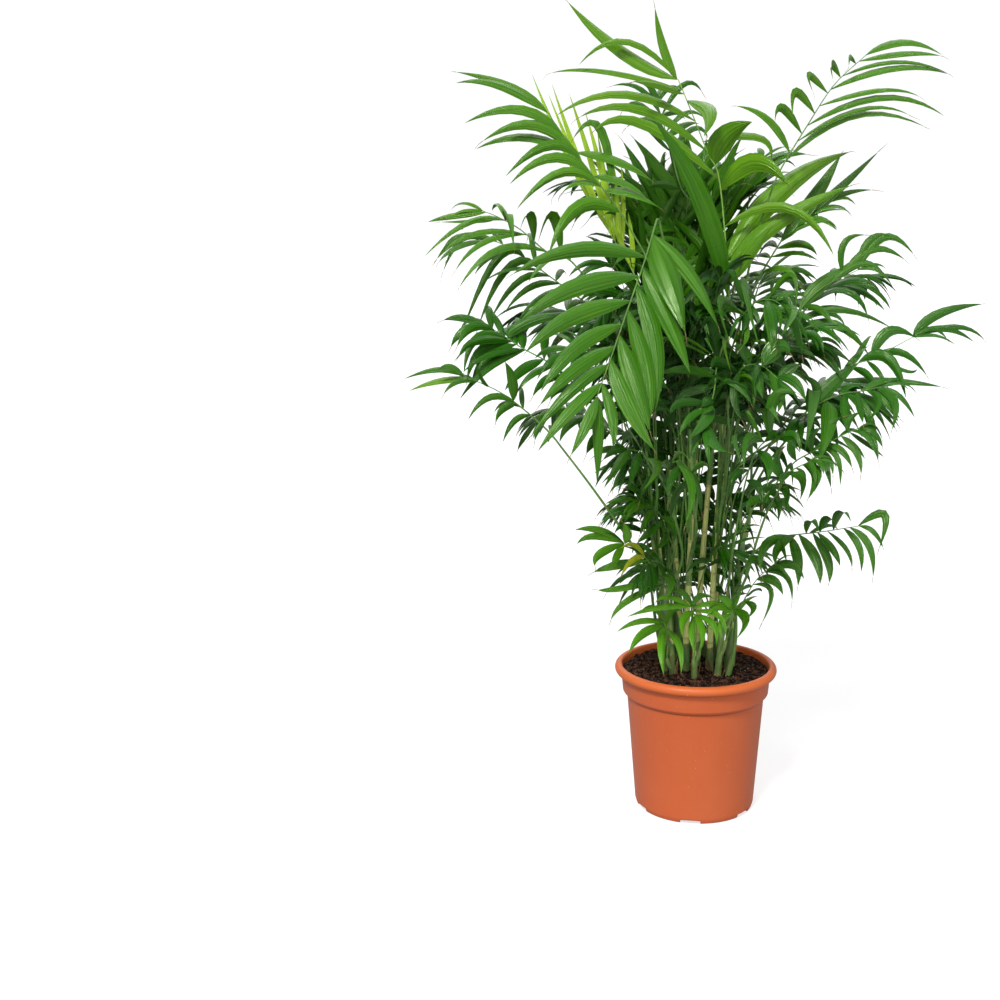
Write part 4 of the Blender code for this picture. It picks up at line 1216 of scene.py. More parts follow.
def cane_at(cane, height):
    """The centre of a cane at a height above the ground, and its radius there."""
    share = min(max((height - SOIL_TOP) / cane.height, 0.0), 1.0)
    bow = share**CANE_BOW
    centre = Vector((cane.foot_x + cane.lean_x * bow, cane.foot_y + cane.lean_y * bow, height))
    return centre, cane.foot_radius + (cane.top_radius - cane.foot_radius) * share


def curve_points(leaf, turn, lift):
    """Start, pull point and tip of a frond's arch, with its start on the side of its cane."""
    heading = radians(leaf.heading + turn)
    out = Vector((cos(heading), sin(heading), 0.0))
    centre, cane_radius = cane_at(cane_named(leaf.cane), leaf.leaves_at)
    pull = centre + out * leaf.reach * leaf.crest_out
    pull.z = leaf.crest + lift
    climb = (pull - centre).normalized()
    lean_back = PETIOLE_FOOT_RADIUS * climb.z
    start = centre + out * (cane_radius + SEAT_GAP + lean_back)
    pull += out * (cane_radius + SEAT_GAP + lean_back)
    tip = centre + out * leaf.reach
    tip.z = leaf.tip + lift
    return start, pull, tip, Vector((-sin(heading), cos(heading), 0.0))


def arch(start, pull, tip, share):
    """Point and direction on a frond's arch."""
    rest = 1.0 - share
    point = start * rest**2 + pull * 2 * rest * share + tip * share**2
    direction = (pull - start) * 2 * rest + (tip - pull) * 2 * share
    return point, direction.normalized()


def blade_width(share):
    return sin(pi * min(max(share, 0.0), 1.0) ** BLADE_WIDEST) ** BLADE_FULLNESS


def section_axes(direction, side, facing, roll):
    """The side and upper directions of a section, its upper side turned to the front by a share."""
    side = (side - direction * side.dot(direction)).normalized()
    up = direction.cross(side)
    if up.z < 0:
        up = -up
    front = FRONT - direction * FRONT.dot(direction)
    angle = 0.0
    if facing and front.length > LEAST_FRONT:
        angle = facing * up.angle(front)
        if direction.dot(up.cross(front)) < 0:
            angle = -angle
    turn = Matrix.Rotation(angle + radians(roll), 3, direction)
    return turn @ side, turn @ up


def blade_box(frond, setting):
    """Lowest and highest corner of the blade that a frond's solid has in a setting."""
    turn, lift, roll, narrowing = setting
    start, pull, tip, side = curve_points(frond, turn, lift)
    corners = []
    for share in BLADE_SHARES[2:]:
        point, direction = arch(start, pull, tip, frond.leafed + (1 - frond.leafed) * share)
        width = max(frond.spread * narrowing * blade_width(share), TIP_RADIUS)
        half = BLADE_HALF_THICKNESS + (TIP_RADIUS - BLADE_HALF_THICKNESS) * share
        axis, up = section_axes(direction, side, frond.facing, roll)
        drop = width * sin(radians(BLADE_DROOP))
        across = width * cos(radians(BLADE_DROOP))
        corners += [point + axis * across - up * drop, point - axis * across - up * drop]
        corners += [point + up * half, point - up * half]
    spread = np.array(corners)
    return spread.min(0), spread.max(0)


def settings_by_change():
    """Each way to turn, lift, roll and narrow a blade, the least change first."""
    found = []
    for turn, lift, roll, narrowing in product(TURNS, LIFTS, ROLLS, NARROWINGS):
        change = (1 - narrowing) / NARROWING_STEP + abs(roll) / ROLL_STEP
        change += abs(turn) / TURN_STEP + abs(lift) / LIFT_STEP
        found.append((round(change, 4), (turn, lift, roll, narrowing)))
    found.sort(key=lambda entry: entry[0])
    return [setting for _, setting in found]


def nodes_of(frond):
    parts = ("_petiole", "_blade") if frond.split else ("",)
    return [f"frond_{frond.name}{part}" for part in parts]


def setting_of(frond, settings):
    """The setting whose blade spreads as far as the frond's solid does."""
    low, high = (np.array(corner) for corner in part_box(nodes_of(frond)[-1]))
    best, best_miss = settings[0], 1.0
    for setting in settings:
        blade_low, blade_high = blade_box(frond, setting)
        misses = [*(abs(blade_high - high)), abs(blade_low - low)[0], abs(blade_low - low)[1]]
        miss = sorted(misses)[2]
        if miss < best_miss - 1e-6:
            best, best_miss = setting, miss
        if best_miss < BOX_AGREEMENT and sorted(misses)[3] < BOX_AGREEMENT:
            break
    return best


class Rachis:
    """A frond's petiole and rachis as one line of points, its leaflets starting at the share leafed."""

    def __init__(self, frond, setting, look, axes, foot=None):
        start, pull, tip, self.side = curve_points(frond, setting[0], setting[1])
        self.roll, self.facing = setting[2], frond.facing
        if frond.name in DRAWN:
            drawn = drawn_points(frond, (start, pull, tip), look, axes)
            way = way_points(frond.name, start, drawn[0], axes)
            if way:
                self.points = smooth_line([start, *way, *drawn], WAY_STEPS * (len(way) + len(drawn)))
                self.leafed = (len(way) + 1) / (len(way) + len(drawn))
            else:
                self.join(start, pull - start, smooth_line(drawn, DRAWN_STEPS * len(drawn)), JOIN_STEPS)
        else:
            shares = [look.rachis_end * index / ARCH_STEPS for index in range(ARCH_STEPS + 1)]
            self.points = [arch(start, pull, tip, share)[0] for share in shares]
            self.leafed = frond.leafed / look.rachis_end
        if foot is not None:
            self.join(foot, self.points[-1] - foot, self.points[FOOT_JOIN:], FOOT_STEPS)
        self.start = self.points[0]

    def join(self, start, way, upper, steps):
        """Run from a start, in a direction at first, into the line's upper part, where its leaflets start."""
        low = joining_line(start, way, upper[0], upper[1] - upper[0], steps)
        self.points = low[:-1] + upper
        self.leafed = steps / (len(self.points) - 1)

    def at(self, share):
        """Point and direction at a share of the whole line."""
        last = len(self.points) - 1
        place = min(max(share, 0.0), 1.0) * last
        low = min(int(place), last - 1)
        first, second = self.points[low], self.points[low + 1]
        return first.lerp(second, place - low), (second - first).normalized()

    def axes(self, share, direction):
        along = (share - self.leafed) / (1 - self.leafed)
        twisted = min(max(along, 0.0) / UNTWISTED_SHARE, 1.0)
        return section_axes(direction, self.side, self.facing * twisted, self.roll * twisted)


def steps_between(pixels):
    return [hypot(b[0] - a[0], b[1] - a[1]) for a, b in zip(pixels, pixels[1:])]


def drawn_points(frond, curve, look, axes):
    """A frond's measured rachis, as deep in the picture as its solid's arch is."""
    pixels = DRAWN[frond.name]
    first = frond.leafed * DRAWN_FROM
    steps = steps_between(pixels)
    gone, made = 0.0, []
    for pixel, step in zip(pixels, steps + [0.0]):
        share = first + (look.rachis_end - first) * gone / sum(steps)
        depth = pixel_of(arch(*curve, share)[0], axes)[2]
        made.append(point_at(pixel, depth, axes))
        gone += step
    return made


def way_points(name, start, end, axes):
    """A frond's measured petiole, with its depth running evenly from its cane to its first leaflet."""
    first, last = pixel_of(start, axes), pixel_of(end, axes)
    pixels = [first[:2], *WAYS.get(name, ()), last[:2]]
    steps = steps_between(pixels)
    gone, made = 0.0, []
    for pixel, step in zip(pixels[1:-1], steps):
        gone += step
        made.append(point_at(pixel, first[2] + (last[2] - first[2]) * gone / sum(steps), axes))
    return made


def smooth_line(points, steps):
    """A smooth line through points, with this many steps."""
    ends = [points[0] * 2 - points[1], *points, points[-1] * 2 - points[-2]]
    made = []
    for index in range(steps + 1):
        place = (len(points) - 1) * index / steps
        low = min(int(place), len(points) - 2)
        t = place - low
        a, b, c, d = ends[low : low + 4]
        square, cube = a * 2 - b * 5 + c * 4 - d, b * 3 - a - c * 3 + d
        made.append((b * 2 + (c - a) * t + square * t**2 + cube * t**3) / 2)
    return made


def joining_line(start, start_way, end, end_way, steps):
    """A curve that leaves a start and reaches an end in given directions."""
    reach = (end - start).length
    first = start + start_way.normalized() * reach * JOIN_START_PULL
    second = end - end_way.normalized() * reach * JOIN_END_PULL
    made = []
    for index in range(steps + 1):
        t = index / steps
        rest = 1 - t
        made.append(start * rest**3 + first * 3 * rest**2 * t + second * 3 * rest * t**2 + end * t**3)
    return made


def inner_fronds(group, index):
    """The small inner fronds of a group, fanned round its heading, each with its look and, if it grows out of
    the soil, its foot."""
    draws = Random(DRAW_SEED + 100 * index)
    for number in range(group.count):
        fan = (number + 0.5) / group.count - 0.5
        heading = group.heading + INNER_FAN * fan + draws.uniform(-INNER_SWAY, INNER_SWAY)
        in_front = abs((heading + 270) % 360 - 180) < FRONT_KEPT_CLEAR
        low = number % group.low_every == group.low_every - 1 and not in_front
        tip = draws.uniform(*LOW_TIPS) if low else draws.uniform(group.tip, group.tip + INNER_RISE)
        if in_front:
            tip = min(max(tip, INNER_FRONT_TIPS[0]), INNER_FRONT_TIPS[1])
        if low:
            leaves_at = LOW_LEAVES_AT + LOW_LEAVES_RISE * draws.random()
        else:
            leaves_at = group.leaves_at + draws.uniform(-0.02, 0.05)
        frond = Frond(
            name=f"inner_{group.name}_{number}",
            cane=group.cane,
            leaves_at=leaves_at,
            heading=heading,
            reach=draws.uniform(*LOW_REACH) if low else group.reach * draws.uniform(*INNER_REACH),
            tip=tip,
            crest_out=0.45,
            crest=tip + draws.uniform(0.04, 0.09),
            leafed=0.36,
            spread=0.05,
            facing=draws.uniform(0.0, 0.4),
        )
        foot = None
        if (number % 3 == 1 or low) and sin(radians(heading)) > FOOT_LEAST_BACK:
            angle = radians(heading + draws.uniform(-FOOT_SWAY, FOOT_SWAY))
            out = draws.uniform(*FOOT_OUT)
            foot = Vector((out * cos(angle), out * sin(angle), SOIL_TOP - STEM_SUNK))
        yield frond, INNER_LOOKS[2 if low else group.looks[number // 2 % 2]], foot


def all_fronds():
    """Every frond with its look, its line and the nodes that it stands for."""
    settings = settings_by_change()
    axes = camera_axes()
    for frond in FRONDS:
        look = LOOKS[frond.name]
        yield frond, look, Rachis(frond, setting_of(frond, settings), look, axes), nodes_of(frond)
    for index, group in enumerate(INNER_GROUPS):
        nodes = [f"fronds_inner_{group.name}"]
        for frond, look, foot in inner_fronds(group, index):
            yield frond, look, Rachis(frond, UNCHANGED, look, axes, foot), nodes


# Camera lines


def camera_axes():
    """Right, up and forward directions of the camera."""
    forward = Vector(
        (-sin(CAMERA_YAW) * cos(CAMERA_PITCH), cos(CAMERA_YAW) * cos(CAMERA_PITCH), -sin(CAMERA_PITCH))
    )
    right = Vector((cos(CAMERA_YAW), sin(CAMERA_YAW), 0.0))
    up = right.cross(forward)
    rolled_right = right * cos(CAMERA_ROLL) + up * sin(CAMERA_ROLL)
    rolled_up = up * cos(CAMERA_ROLL) - right * sin(CAMERA_ROLL)
    return rolled_right, rolled_up, forward


def pixel_of(point, axes):
    """The pixel that a point falls on, and its depth."""
    right, up, forward = axes
    offset = point - CAMERA_PLACE
    depth = offset.dot(forward)
    across, upward = CAMERA_FOCAL * offset.dot(right) / depth, CAMERA_FOCAL * offset.dot(up) / depth
    return PICTURE_SIDE / 2 + across, PICTURE_SIDE / 2 - upward, depth


def point_at(pixel, depth, axes):
    """The point that a pixel shows at a depth."""
    right, up, forward = axes
    half = PICTURE_SIDE / 2
    across = (pixel[0] - half) / CAMERA_FOCAL
    upward = (half - pixel[1]) / CAMERA_FOCAL
    return CAMERA_PLACE + (forward + right * across + up * upward) * depth


# Leaflets


def unit(vectors):
    return vectors / np.maximum(np.linalg.norm(vectors, axis=-1, keepdims=True), 1e-9)


def ribbon_frames(lines, ups, twists, stations):
    """Side and upper directions along each line, carried from its base without spinning, then twisted."""
    along = unit(np.gradient(lines, axis=1))
    upper = np.empty_like(lines)
    current = ups
    for index in range(lines.shape[1]):
        direction = along[:, index]
        current = unit(current - direction * (current * direction).sum(1, keepdims=True))
        upper[:, index] = current
    side = np.cross(along, upper)
    angle = (twists[:, None] * stations[None, :])[..., None]
    return side * np.cos(angle) + upper * np.sin(angle), upper * np.cos(angle) - side * np.sin(angle), along


def leaflet_arrays(leaflets):
    """Points, faces, UVs and tones of every leaflet as one mesh, and each tip's place and directions."""
    lines, ups, widths, folds, twists, tones = (np.array(values) for values in zip(*leaflets))
    side, upper, along = ribbon_frames(lines, ups, twists, LEAF_STATIONS)
    half = widths[:, None] / 2 * LEAF_OUTLINE[None, :]
    across = half[:, :, None] * LEAF_COLUMNS[None, None, :] * np.cos(folds)[:, None, None]
    drop = half[:, :, None] * LEAF_DROPS[None, None, :] * np.sin(folds)[:, None, None]
    points = lines[:, :, None, :] + side[:, :, None, :] * across[..., None]
    points = points - upper[:, :, None, :] * drop[..., None]
    spot = np.arange(half.size * len(LEAF_COLUMNS)).reshape(points.shape[:3])
    length = np.linalg.norm(np.diff(lines, axis=1), axis=2).sum(1)
    u = np.broadcast_to((LEAF_COLUMNS + 1) / 2, spot.shape)
    v = LEAF_STATIONS[None, :, None] * length[:, None, None] * UV_PER_METRE
    v = np.broadcast_to(v + np.arange(len(lines))[:, None, None] * UV_STEP, spot.shape)
    uvs = np.stack([u, v], axis=-1).reshape(-1, 2)
    tones = np.repeat(tones, spot[0].size)
    return points.reshape(-1, 3), grid_faces(spot), uvs, tones, (lines[:, -1], along[:, -1], upper[:, -1])


def bezier_line(base, crest, tip):
    """A line through base, crest and tip at a leaflet's stations."""
    pull = crest * 2 - (base + tip) / 2
    t = LEAF_STATIONS[:, None]
    return np.array(base) * (1 - t) ** 2 + np.array(pull) * 2 * t * (1 - t) + np.array(tip) * t**2


def drooping_line(base, direction, length, droop, curl):
    """A line that starts along a direction and bends towards the ground, and curls near its tip."""
    steps = LEAF_BEND_STEPS
    t = (np.arange(steps) + 0.5) / steps
    bend = droop * t**1.3 + curl * np.clip(t - LEAF_CURL_FROM, 0, 1) ** 1.2
    ways = unit(np.array(direction)[None, :] + np.array([0.0, 0.0, -1.0])[None, :] * bend[:, None])
    points = np.vstack([np.array(base)[None, :], np.array(base) + np.cumsum(ways * length / steps, axis=0)])
    at = LEAF_STATIONS * steps
    low = np.minimum(at.astype(int), steps - 1)
    return points[low] + (points[low + 1] - points[low]) * (at - low)[:, None]


def seen_leaflets(frond, rachis, leaf, axes, draws):
    """The leaflets measured on the photograph, each started at the nearest place on its rachis."""
    first = rachis.leafed * SEEN_FROM
    places = [rachis.at(first + (1 - first) * i / SEEN_STEPS)[0] for i in range(SEEN_STEPS + 1)]
    starts = [(*pixel_of(place, axes), place) for place in places]
    toward = -axes[2]
    usual, rows = SEEN[frond.name][:2], SEEN[frond.name][2:]
    for row in rows:
        base_x, base_y, width = row[0], row[1], row[6]
        nearer, tint = (*row[7:], *usual[len(row) - 7 :])
        nearer /= 1000
        _, _, depth, base = min(starts, key=lambda start: hypot(start[0] - base_x, start[1] - base_y))
        crest = point_at(row[2:4], depth - nearer * CREST_NEARER, axes)
        line = bezier_line(base, crest, point_at(row[4:6], depth - nearer, axes))
        up = toward * draws.uniform(0.70, 0.95) + UP * draws.uniform(0.25, 0.55)
        fold = leaf.fold * draws.uniform(0.7, 1.4)
        yield tint, line, up, width / 1000 * leaf.width, fold, radians(draws.uniform(-18, 18))


def feather_length(along):
    """A leaflet's length at a place along its rachis, as a share of the longest, nearly."""
    return 0.62 + 0.40 * sin(pi * min(0.10 + 0.78 * along, 1.0))


def feathered_leaflets(rachis, look, leaf, draws):
    """Pairs of leaflets along a rachis, longest past its middle, and a pair that ends it."""
    first = rachis.leafed * FEATHERED_FROM
    for pair in range(look.pairs + 1):
        ending = pair == look.pairs
        for hand in (-1, 1):
            along = 1.0 if ending else (pair + 0.5 + draws.uniform(-0.3, 0.3)) / look.pairs
            share = first + (1 - first) * along
            base, direction = rachis.at(share)
            side, up = rachis.axes(share, direction)
            opening = ENDING_OPENING
            if not ending:
                opening = look.opening - look.opening / 2 * along + draws.uniform(-13, 13)
            angle = radians(opening)
            length = look.length * leaf.length * feather_length(along) * draws.uniform(0.78, 1.12)
            way = direction * cos(angle) + side * hand * sin(angle) + up * draws.uniform(-0.10, 0.42)
            droop = look.droop * draws.uniform(0.55, 1.6)
            curl = draws.choice((0.0, 0.0, 1.5, 4.0))
            line = drooping_line(base, way.normalized(), length, droop, curl)
            width = look.width * leaf.width * draws.uniform(0.80, 1.15) * (ENDING_WIDTH if ending else 1.0)
            fold = leaf.fold * draws.uniform(0.6, 1.7)
            yield look.tint, line, up, width, fold, radians(draws.uniform(-48, 48))


def gather_leaflets(leaf):
    """By tint, each leaflet's line, upper direction, width, fold, twist and tone, and the nodes covered."""
    axes = camera_axes()
    draws = Random(DRAW_SEED)
    gathered = {}
    for frond, look, rachis, nodes in all_fronds():
        rows = []
        if frond.name in SEEN:
            rows += seen_leaflets(frond, rachis, leaf, axes, draws)
        if look.pairs:
            rows += feathered_leaflets(rachis, look, leaf, draws)
        for tint, *leaflet in rows:
            gathered.setdefault(tint, ([], set()))[0].append((*leaflet, draws.random()))
        gathered[look.tint][1].update(node for node in nodes if not node.endswith("_petiole"))
    return gathered


def make_leaflets(leaf, stem):
    """All leaflets, joined by tint, and the dry threads at their tips."""
    tips = []
    draws = np.random.default_rng(DRAW_SEED)
    for tint, (leaflets, nodes) in gather_leaflets(leaf).items():
        points, faces, uvs, tones, ends = leaflet_arrays(leaflets)
        material = leaf_material(f"leaf_{tint}", getattr(leaf, tint), leaf.gloss)
        piece = mesh_piece(f"leaflets_{tint}", points, faces, material, uvs, tones)
        young = tint in ("spear", "tuft")
        settle(piece, "young_frond" if young else "frond", *sorted(nodes))
        if not young:
            kept = draws.random(len(leaflets)) < THREAD_SHARE
            tips.append([values[kept] for values in ends])
    make_tip_threads(*[np.vstack(values) for values in zip(*tips)], stem, draws)


def make_tip_threads(ends, ways, ups, stem, draws):
    """Thin dry threads that run on from leaflet tips and curl."""
    count = len(ends)
    lengths = draws.uniform(0.006, 0.018, count)
    curls = draws.uniform(-0.6, 2.2, count)
    points = [ends]
    for station, step in zip(THREAD_STATIONS, np.diff(THREAD_STATIONS)):
        turn = (curls * station)[:, None]
        way = unit(ways * np.cos(turn) - ups * np.sin(turn))
        points.append(points[-1] + way * (lengths * step)[:, None])
    lines = np.stack(points, axis=1)
    side, _, _ = ribbon_frames(lines, ups, np.zeros(count), THREAD_STATIONS)
    half = THREAD_HALF_WIDTHS[None, :, None]
    edges = np.stack([lines - side * half, lines + side * half], axis=2)
    faces = grid_faces(np.arange(edges.size // 3).reshape(edges.shape[:3]))
    material = stem_material("dry_tip", stem.dry_colour, scaled(stem.dry_colour, 0.6), 0.7)
    settle(mesh_piece("leaf_tips", edges.reshape(-1, 3), faces, material), "frond")


# Stems


def ring_heights(cane, gap, draws):
    """Heights of a cane's rings, wider apart towards its top."""
    height, found = SOIL_TOP + RINGS_FROM, []
    while height < SOIL_TOP + cane.height - RINGS_SHORT_OF_TOP:
        found.append(height)
        widening = RING_GAP_LOW + RING_GAP_RISE * (height - SOIL_TOP) / cane.height
        height += gap * draws.uniform(0.7, 1.25) * widening
    return found


def cane_line(cane, stem, draws):
    """Points, radii and ring marks of a cane, with a swelling at each ring."""
    rings = ring_heights(cane, stem.ring_gap, draws)
    foot, top = SOIL_TOP - CANE_SUNK, SOIL_TOP + cane.height
    heights = {foot + (top - foot) * i / CANE_STEPS for i in range(CANE_STEPS + 1)}
    heights |= {ring + offset for ring in rings for offset in RING_OFFSETS}
    points, radii, marks = [], [], []
    for height in sorted(heights):
        centre, radius = cane_at(cane, max(height, SOIL_TOP))
        centre.z = height
        away = min(abs(height - ring) for ring in rings)
        mark = max(0.0, 1 - away / RING_REACH)
        points.append(centre)
        radii.append(radius * CANE_SLIMNESS * (1 + stem.ring_swell * mark))
        marks.append(mark * RING_DARKNESS)
    return points, radii, marks


def petiole_line(frond, rachis):
    """Points and radii of a petiole and its rachis, swollen at its foot where it grows out of the soil."""
    points, radii = [], []
    from_soil = rachis.start.z < SOIL_TOP
    scale = min(1.0, THINNEST_PETIOLE + frond.reach * PETIOLE_GROWTH)
    for index in range(PETIOLE_STEPS + 1):
        share = index / PETIOLE_STEPS
        points.append(rachis.at(share)[0])
        if share < rachis.leafed:
            taper = share / rachis.leafed
            radius = PETIOLE_FOOT_RADIUS + (PETIOLE_END_RADIUS - PETIOLE_FOOT_RADIUS) * taper
        else:
            taper = (share - rachis.leafed) / (1 - rachis.leafed)
            radius = PETIOLE_END_RADIUS + (RACHIS_END_RADIUS - PETIOLE_END_RADIUS) * taper
        swell = 1 + SOIL_FOOT_SWELL * max(0.0, 1 - share / SOIL_FOOT_SHARE) if from_soil else 1.0
        radii.append(radius * scale * swell)
    return points, radii, [0.0] * len(points)


def sheath_line(frond, rachis, draws):
    """Points and radii of a sheath that clasps its cane and narrows into its petiole."""
    cane = cane_named(frond.cane)
    shorter = TALL_SHEATH_SHARE if "tall" in cane.name else 1.0
    bottom = max(frond.leaves_at - SHEATH_LENGTH * shorter * draws.uniform(0.7, 1.2), SOIL_TOP - STEM_SUNK)
    points, radii = [], []
    for index in range(SHEATH_STEPS + 1):
        height = bottom + (frond.leaves_at - SHEATH_TOP_GAP - bottom) * index / SHEATH_STEPS
        centre, radius = cane_at(cane, max(height, SOIL_TOP))
        centre.z = height
        out = (rachis.start - centre).to_2d().normalized()
        lean = SHEATH_LEAN * (index / SHEATH_STEPS) ** 2
        points.append(centre + Vector((out.x, out.y, 0.0)) * lean)
        swell = sin(pi * (0.15 + 0.55 * index / SHEATH_STEPS))
        radii.append(radius * CANE_SLIMNESS + SHEATH_THICKNESS + SHEATH_SWELL * swell)
    for share in SHEATH_ENDS:
        points.append(rachis.at(share)[0])
        radii.append(SHEATH_END_RADIUS - SHEATH_END_TAPER * share)
    return points, radii, [0.0] * len(points)


def make_canes(stem):
    draws = Random(DRAW_SEED)
    lines = [cane_line(cane, stem, draws) for cane in CANES]
    second = scaled(stem.cane_colour, 0.78, 0.88, 0.8)
    material = stem_material("cane", stem.cane_colour, second, 0.42, stem.ring_colour)
    nodes = [f"cane_{cane.name}" for cane in CANES]
    settle(tubes("canes", lines, CANE_SIDES, material), "cane", *nodes)


def make_petioles(stem):
    """Petioles and rachises of all fronds, the youngest in their own colour."""
    mature, young, petiole_nodes = [], [], []
    for frond, look, rachis, nodes in all_fronds():
        lines = young if look.tint in ("spear", "tuft", "crown") else mature
        lines.append(petiole_line(frond, rachis))
        petiole_nodes += [node for node in nodes if node.endswith("_petiole")]
    tint, fresh = stem.petiole_colour, stem.young_colour
    plain = stem_material("petiole", tint, scaled(tint, 1.7, 1.4, 1.3), 0.42)
    bright = stem_material("young_petiole", fresh, scaled(fresh, 0.6, 0.8, 0.8), 0.42)
    settle(tubes("petioles", mature, PETIOLE_SIDES, plain), "frond", *petiole_nodes)
    settle(tubes("young_petioles", young, PETIOLE_SIDES, bright), "young_frond")


def make_sheaths(stem):
    """Green sheaths round the canes, and dry ones at their feet."""
    draws = Random(DRAW_SEED + 1)
    lines = [sheath_line(frond, rachis, draws) for frond, _, rachis, _ in all_fronds() if frond in FRONDS]
    green = stem_material("sheath", stem.sheath_colour, scaled(stem.sheath_colour, 1.9, 1.5, 1.4), 0.46)
    settle(tubes("sheaths", lines, SHEATH_SIDES, green), "frond")
    make_foot_sheaths(stem, draws)
    make_dry_sheaths(stem, draws)


def foot_sheath_line(foot, way, radius, draws):
    """Points and radii of a thick young sheath round the foot of a stem."""
    tall = draws.uniform(0.030, 0.070)
    points = [foot + way * tall * share for share in FOOT_SHEATH_SHARES]
    return points, [radius * swell for swell in FOOT_SHEATH_RADII], [0.0] * len(points)


def make_foot_sheaths(stem, draws):
    """Swollen green sheaths round the feet of the canes and shoots."""
    lines = []
    for cane in CANES:
        centre, radius = cane_at(cane, SOIL_TOP)
        above, _ = cane_at(cane, SOIL_TOP + FOOT_WAY_HEIGHT)
        centre.z = SOIL_TOP - STEM_SUNK
        lines.append(foot_sheath_line(centre, (above - centre).normalized(), radius, draws))
    for _, _, rachis, _ in all_fronds():
        if rachis.start.z < SOIL_TOP:
            way = (rachis.points[FOOT_WAY_POINT] - rachis.start).normalized()
            lines.append(foot_sheath_line(rachis.start, way, draws.uniform(0.0028, 0.0044), draws))
    green = stem_material("foot_sheath", stem.foot_colour, scaled(stem.foot_colour, 2.2, 1.15, 1.5), 0.44)
    settle(tubes("foot_sheaths", lines, FOOT_SHEATH_SIDES, green), "frond")


def make_dry_sheaths(stem, draws):
    """Ragged papery shells that hug the feet of the canes, each a curved triangle with a torn tip."""
    points = []
    for cane in CANES:
        for _ in range(2 if cane.height > 0.1 else 1):
            heading = draws.uniform(0, 2 * pi)
            tall = draws.uniform(0.018, 0.046)
            wrap = draws.uniform(0.9, 1.9)
            gap = draws.uniform(0.0012, 0.0024)
            for row in range(DRY_ROWS + 1):
                up = row / DRY_ROWS
                height = SOIL_TOP - STEM_SUNK + tall * up
                centre, radius = cane_at(cane, max(height, SOIL_TOP))
                flare = radius + gap + DRY_FLARE * up**2.5
                for column in range(DRY_COLUMNS + 1):
                    share = column / DRY_COLUMNS - 0.5
                    angle = heading + wrap * share * (1 - DRY_NARROWING * up**1.4)
                    torn = DRY_TEAR * draws.uniform(-1, 1) * up
                    x, y = centre.x + flare * cos(angle), centre.y + flare * sin(angle)
                    points.append((x, y, height + torn))
    faces = grid_faces(np.arange(len(points)).reshape(-1, DRY_ROWS + 1, DRY_COLUMNS + 1))
    dry = stem_material("dry_sheath", stem.dry_colour, scaled(stem.dry_colour, 0.45), 0.75)
    piece = mesh_piece("dry_sheaths", points, faces, dry)
    shell = piece.modifiers.new("paper", "SOLIDIFY")
    shell.thickness = DRY_THICKNESS
    shell.offset = 0.0
    settle(placed("dry_sheaths", plain_mesh(piece)), "frond")


# Pot and soil


def collar_foot_of(pot):
    """The height of the collar's lower edge."""
    return pot.height - BEAD_HEIGHT - COLLAR_HEIGHT


def body_radius(height, pot):
    """The outer radius of the pot's plain tapered body at a height."""
    share = (height - FOOT_CHAMFER) / (collar_foot_of(pot) - SHOULDER_DROP - FOOT_CHAMFER)
    return BODY_FOOT_RADIUS + (BODY_TOP_RADIUS - BODY_FOOT_RADIUS) * share


def rounded(points, corner, steps=3):
    """A profile with each inner point rounded off by a small curve, corner wide at most."""
    made = [points[0]]
    for before, point, after in zip(points, points[1:], points[2:]):
        here = Vector(point)
        back, on = Vector(before) - here, Vector(after) - here
        cut = min(corner, back.length * ROUNDED_SHARE, on.length * ROUNDED_SHARE)
        start, end = here + back.normalized() * cut, here + on.normalized() * cut
        for index in range(steps + 1):
            t = index / steps
            made.append(tuple(start * (1 - t) ** 2 + here * 2 * t * (1 - t) + end * t**2))
    return made + [points[-1]]


def pot_profile(pot):
    """The pot's section, from the middle of its floor over the rolled rim to the middle of its underside."""
    collar_top = pot.height - BEAD_HEIGHT
    collar_foot = collar_foot_of(pot)
    shoulder = collar_foot - SHOULDER_DROP
    half_bead = BEAD_HEIGHT / 2
    bead_centre = BEAD_RADIUS - half_bead
    inside = [
        (0.0, FLOOR_THICKNESS),
        (body_radius(FLOOR_THICKNESS, pot) - pot.wall, FLOOR_THICKNESS),
        (BODY_TOP_RADIUS - pot.wall, shoulder),
        (COLLAR_FOOT_RADIUS - pot.wall, collar_foot),
        (COLLAR_RADIUS - pot.wall, collar_top + RIM_BEND),
        (COLLAR_RADIUS - LIP_IN, pot.height - LIP_DROP),
        (COLLAR_RADIUS + LIP_OUT, pot.height),
    ]
    bead = [
        (bead_centre + half_bead * sin(turn), pot.height - half_bead + half_bead * cos(turn))
        for turn in (pi * i / BEAD_STEPS for i in range(BEAD_STEPS + 1))
    ]
    outside = [
        (COLLAR_RADIUS + UNDERCUT_OUT, collar_top + UNDERCUT_RISE),
        (COLLAR_RADIUS, collar_top - UNDERCUT_DROP),
        (COLLAR_FOOT_RADIUS, collar_foot),
        (BODY_TOP_RADIUS, shoulder),
        (BODY_FOOT_RADIUS, FOOT_CHAMFER),
        (FOOT_RADIUS, 0.0),
        (0.0, 0.0),
    ]
    return rounded(inside, INNER_ROUNDING) + bead + rounded(outside, OUTER_ROUNDING)


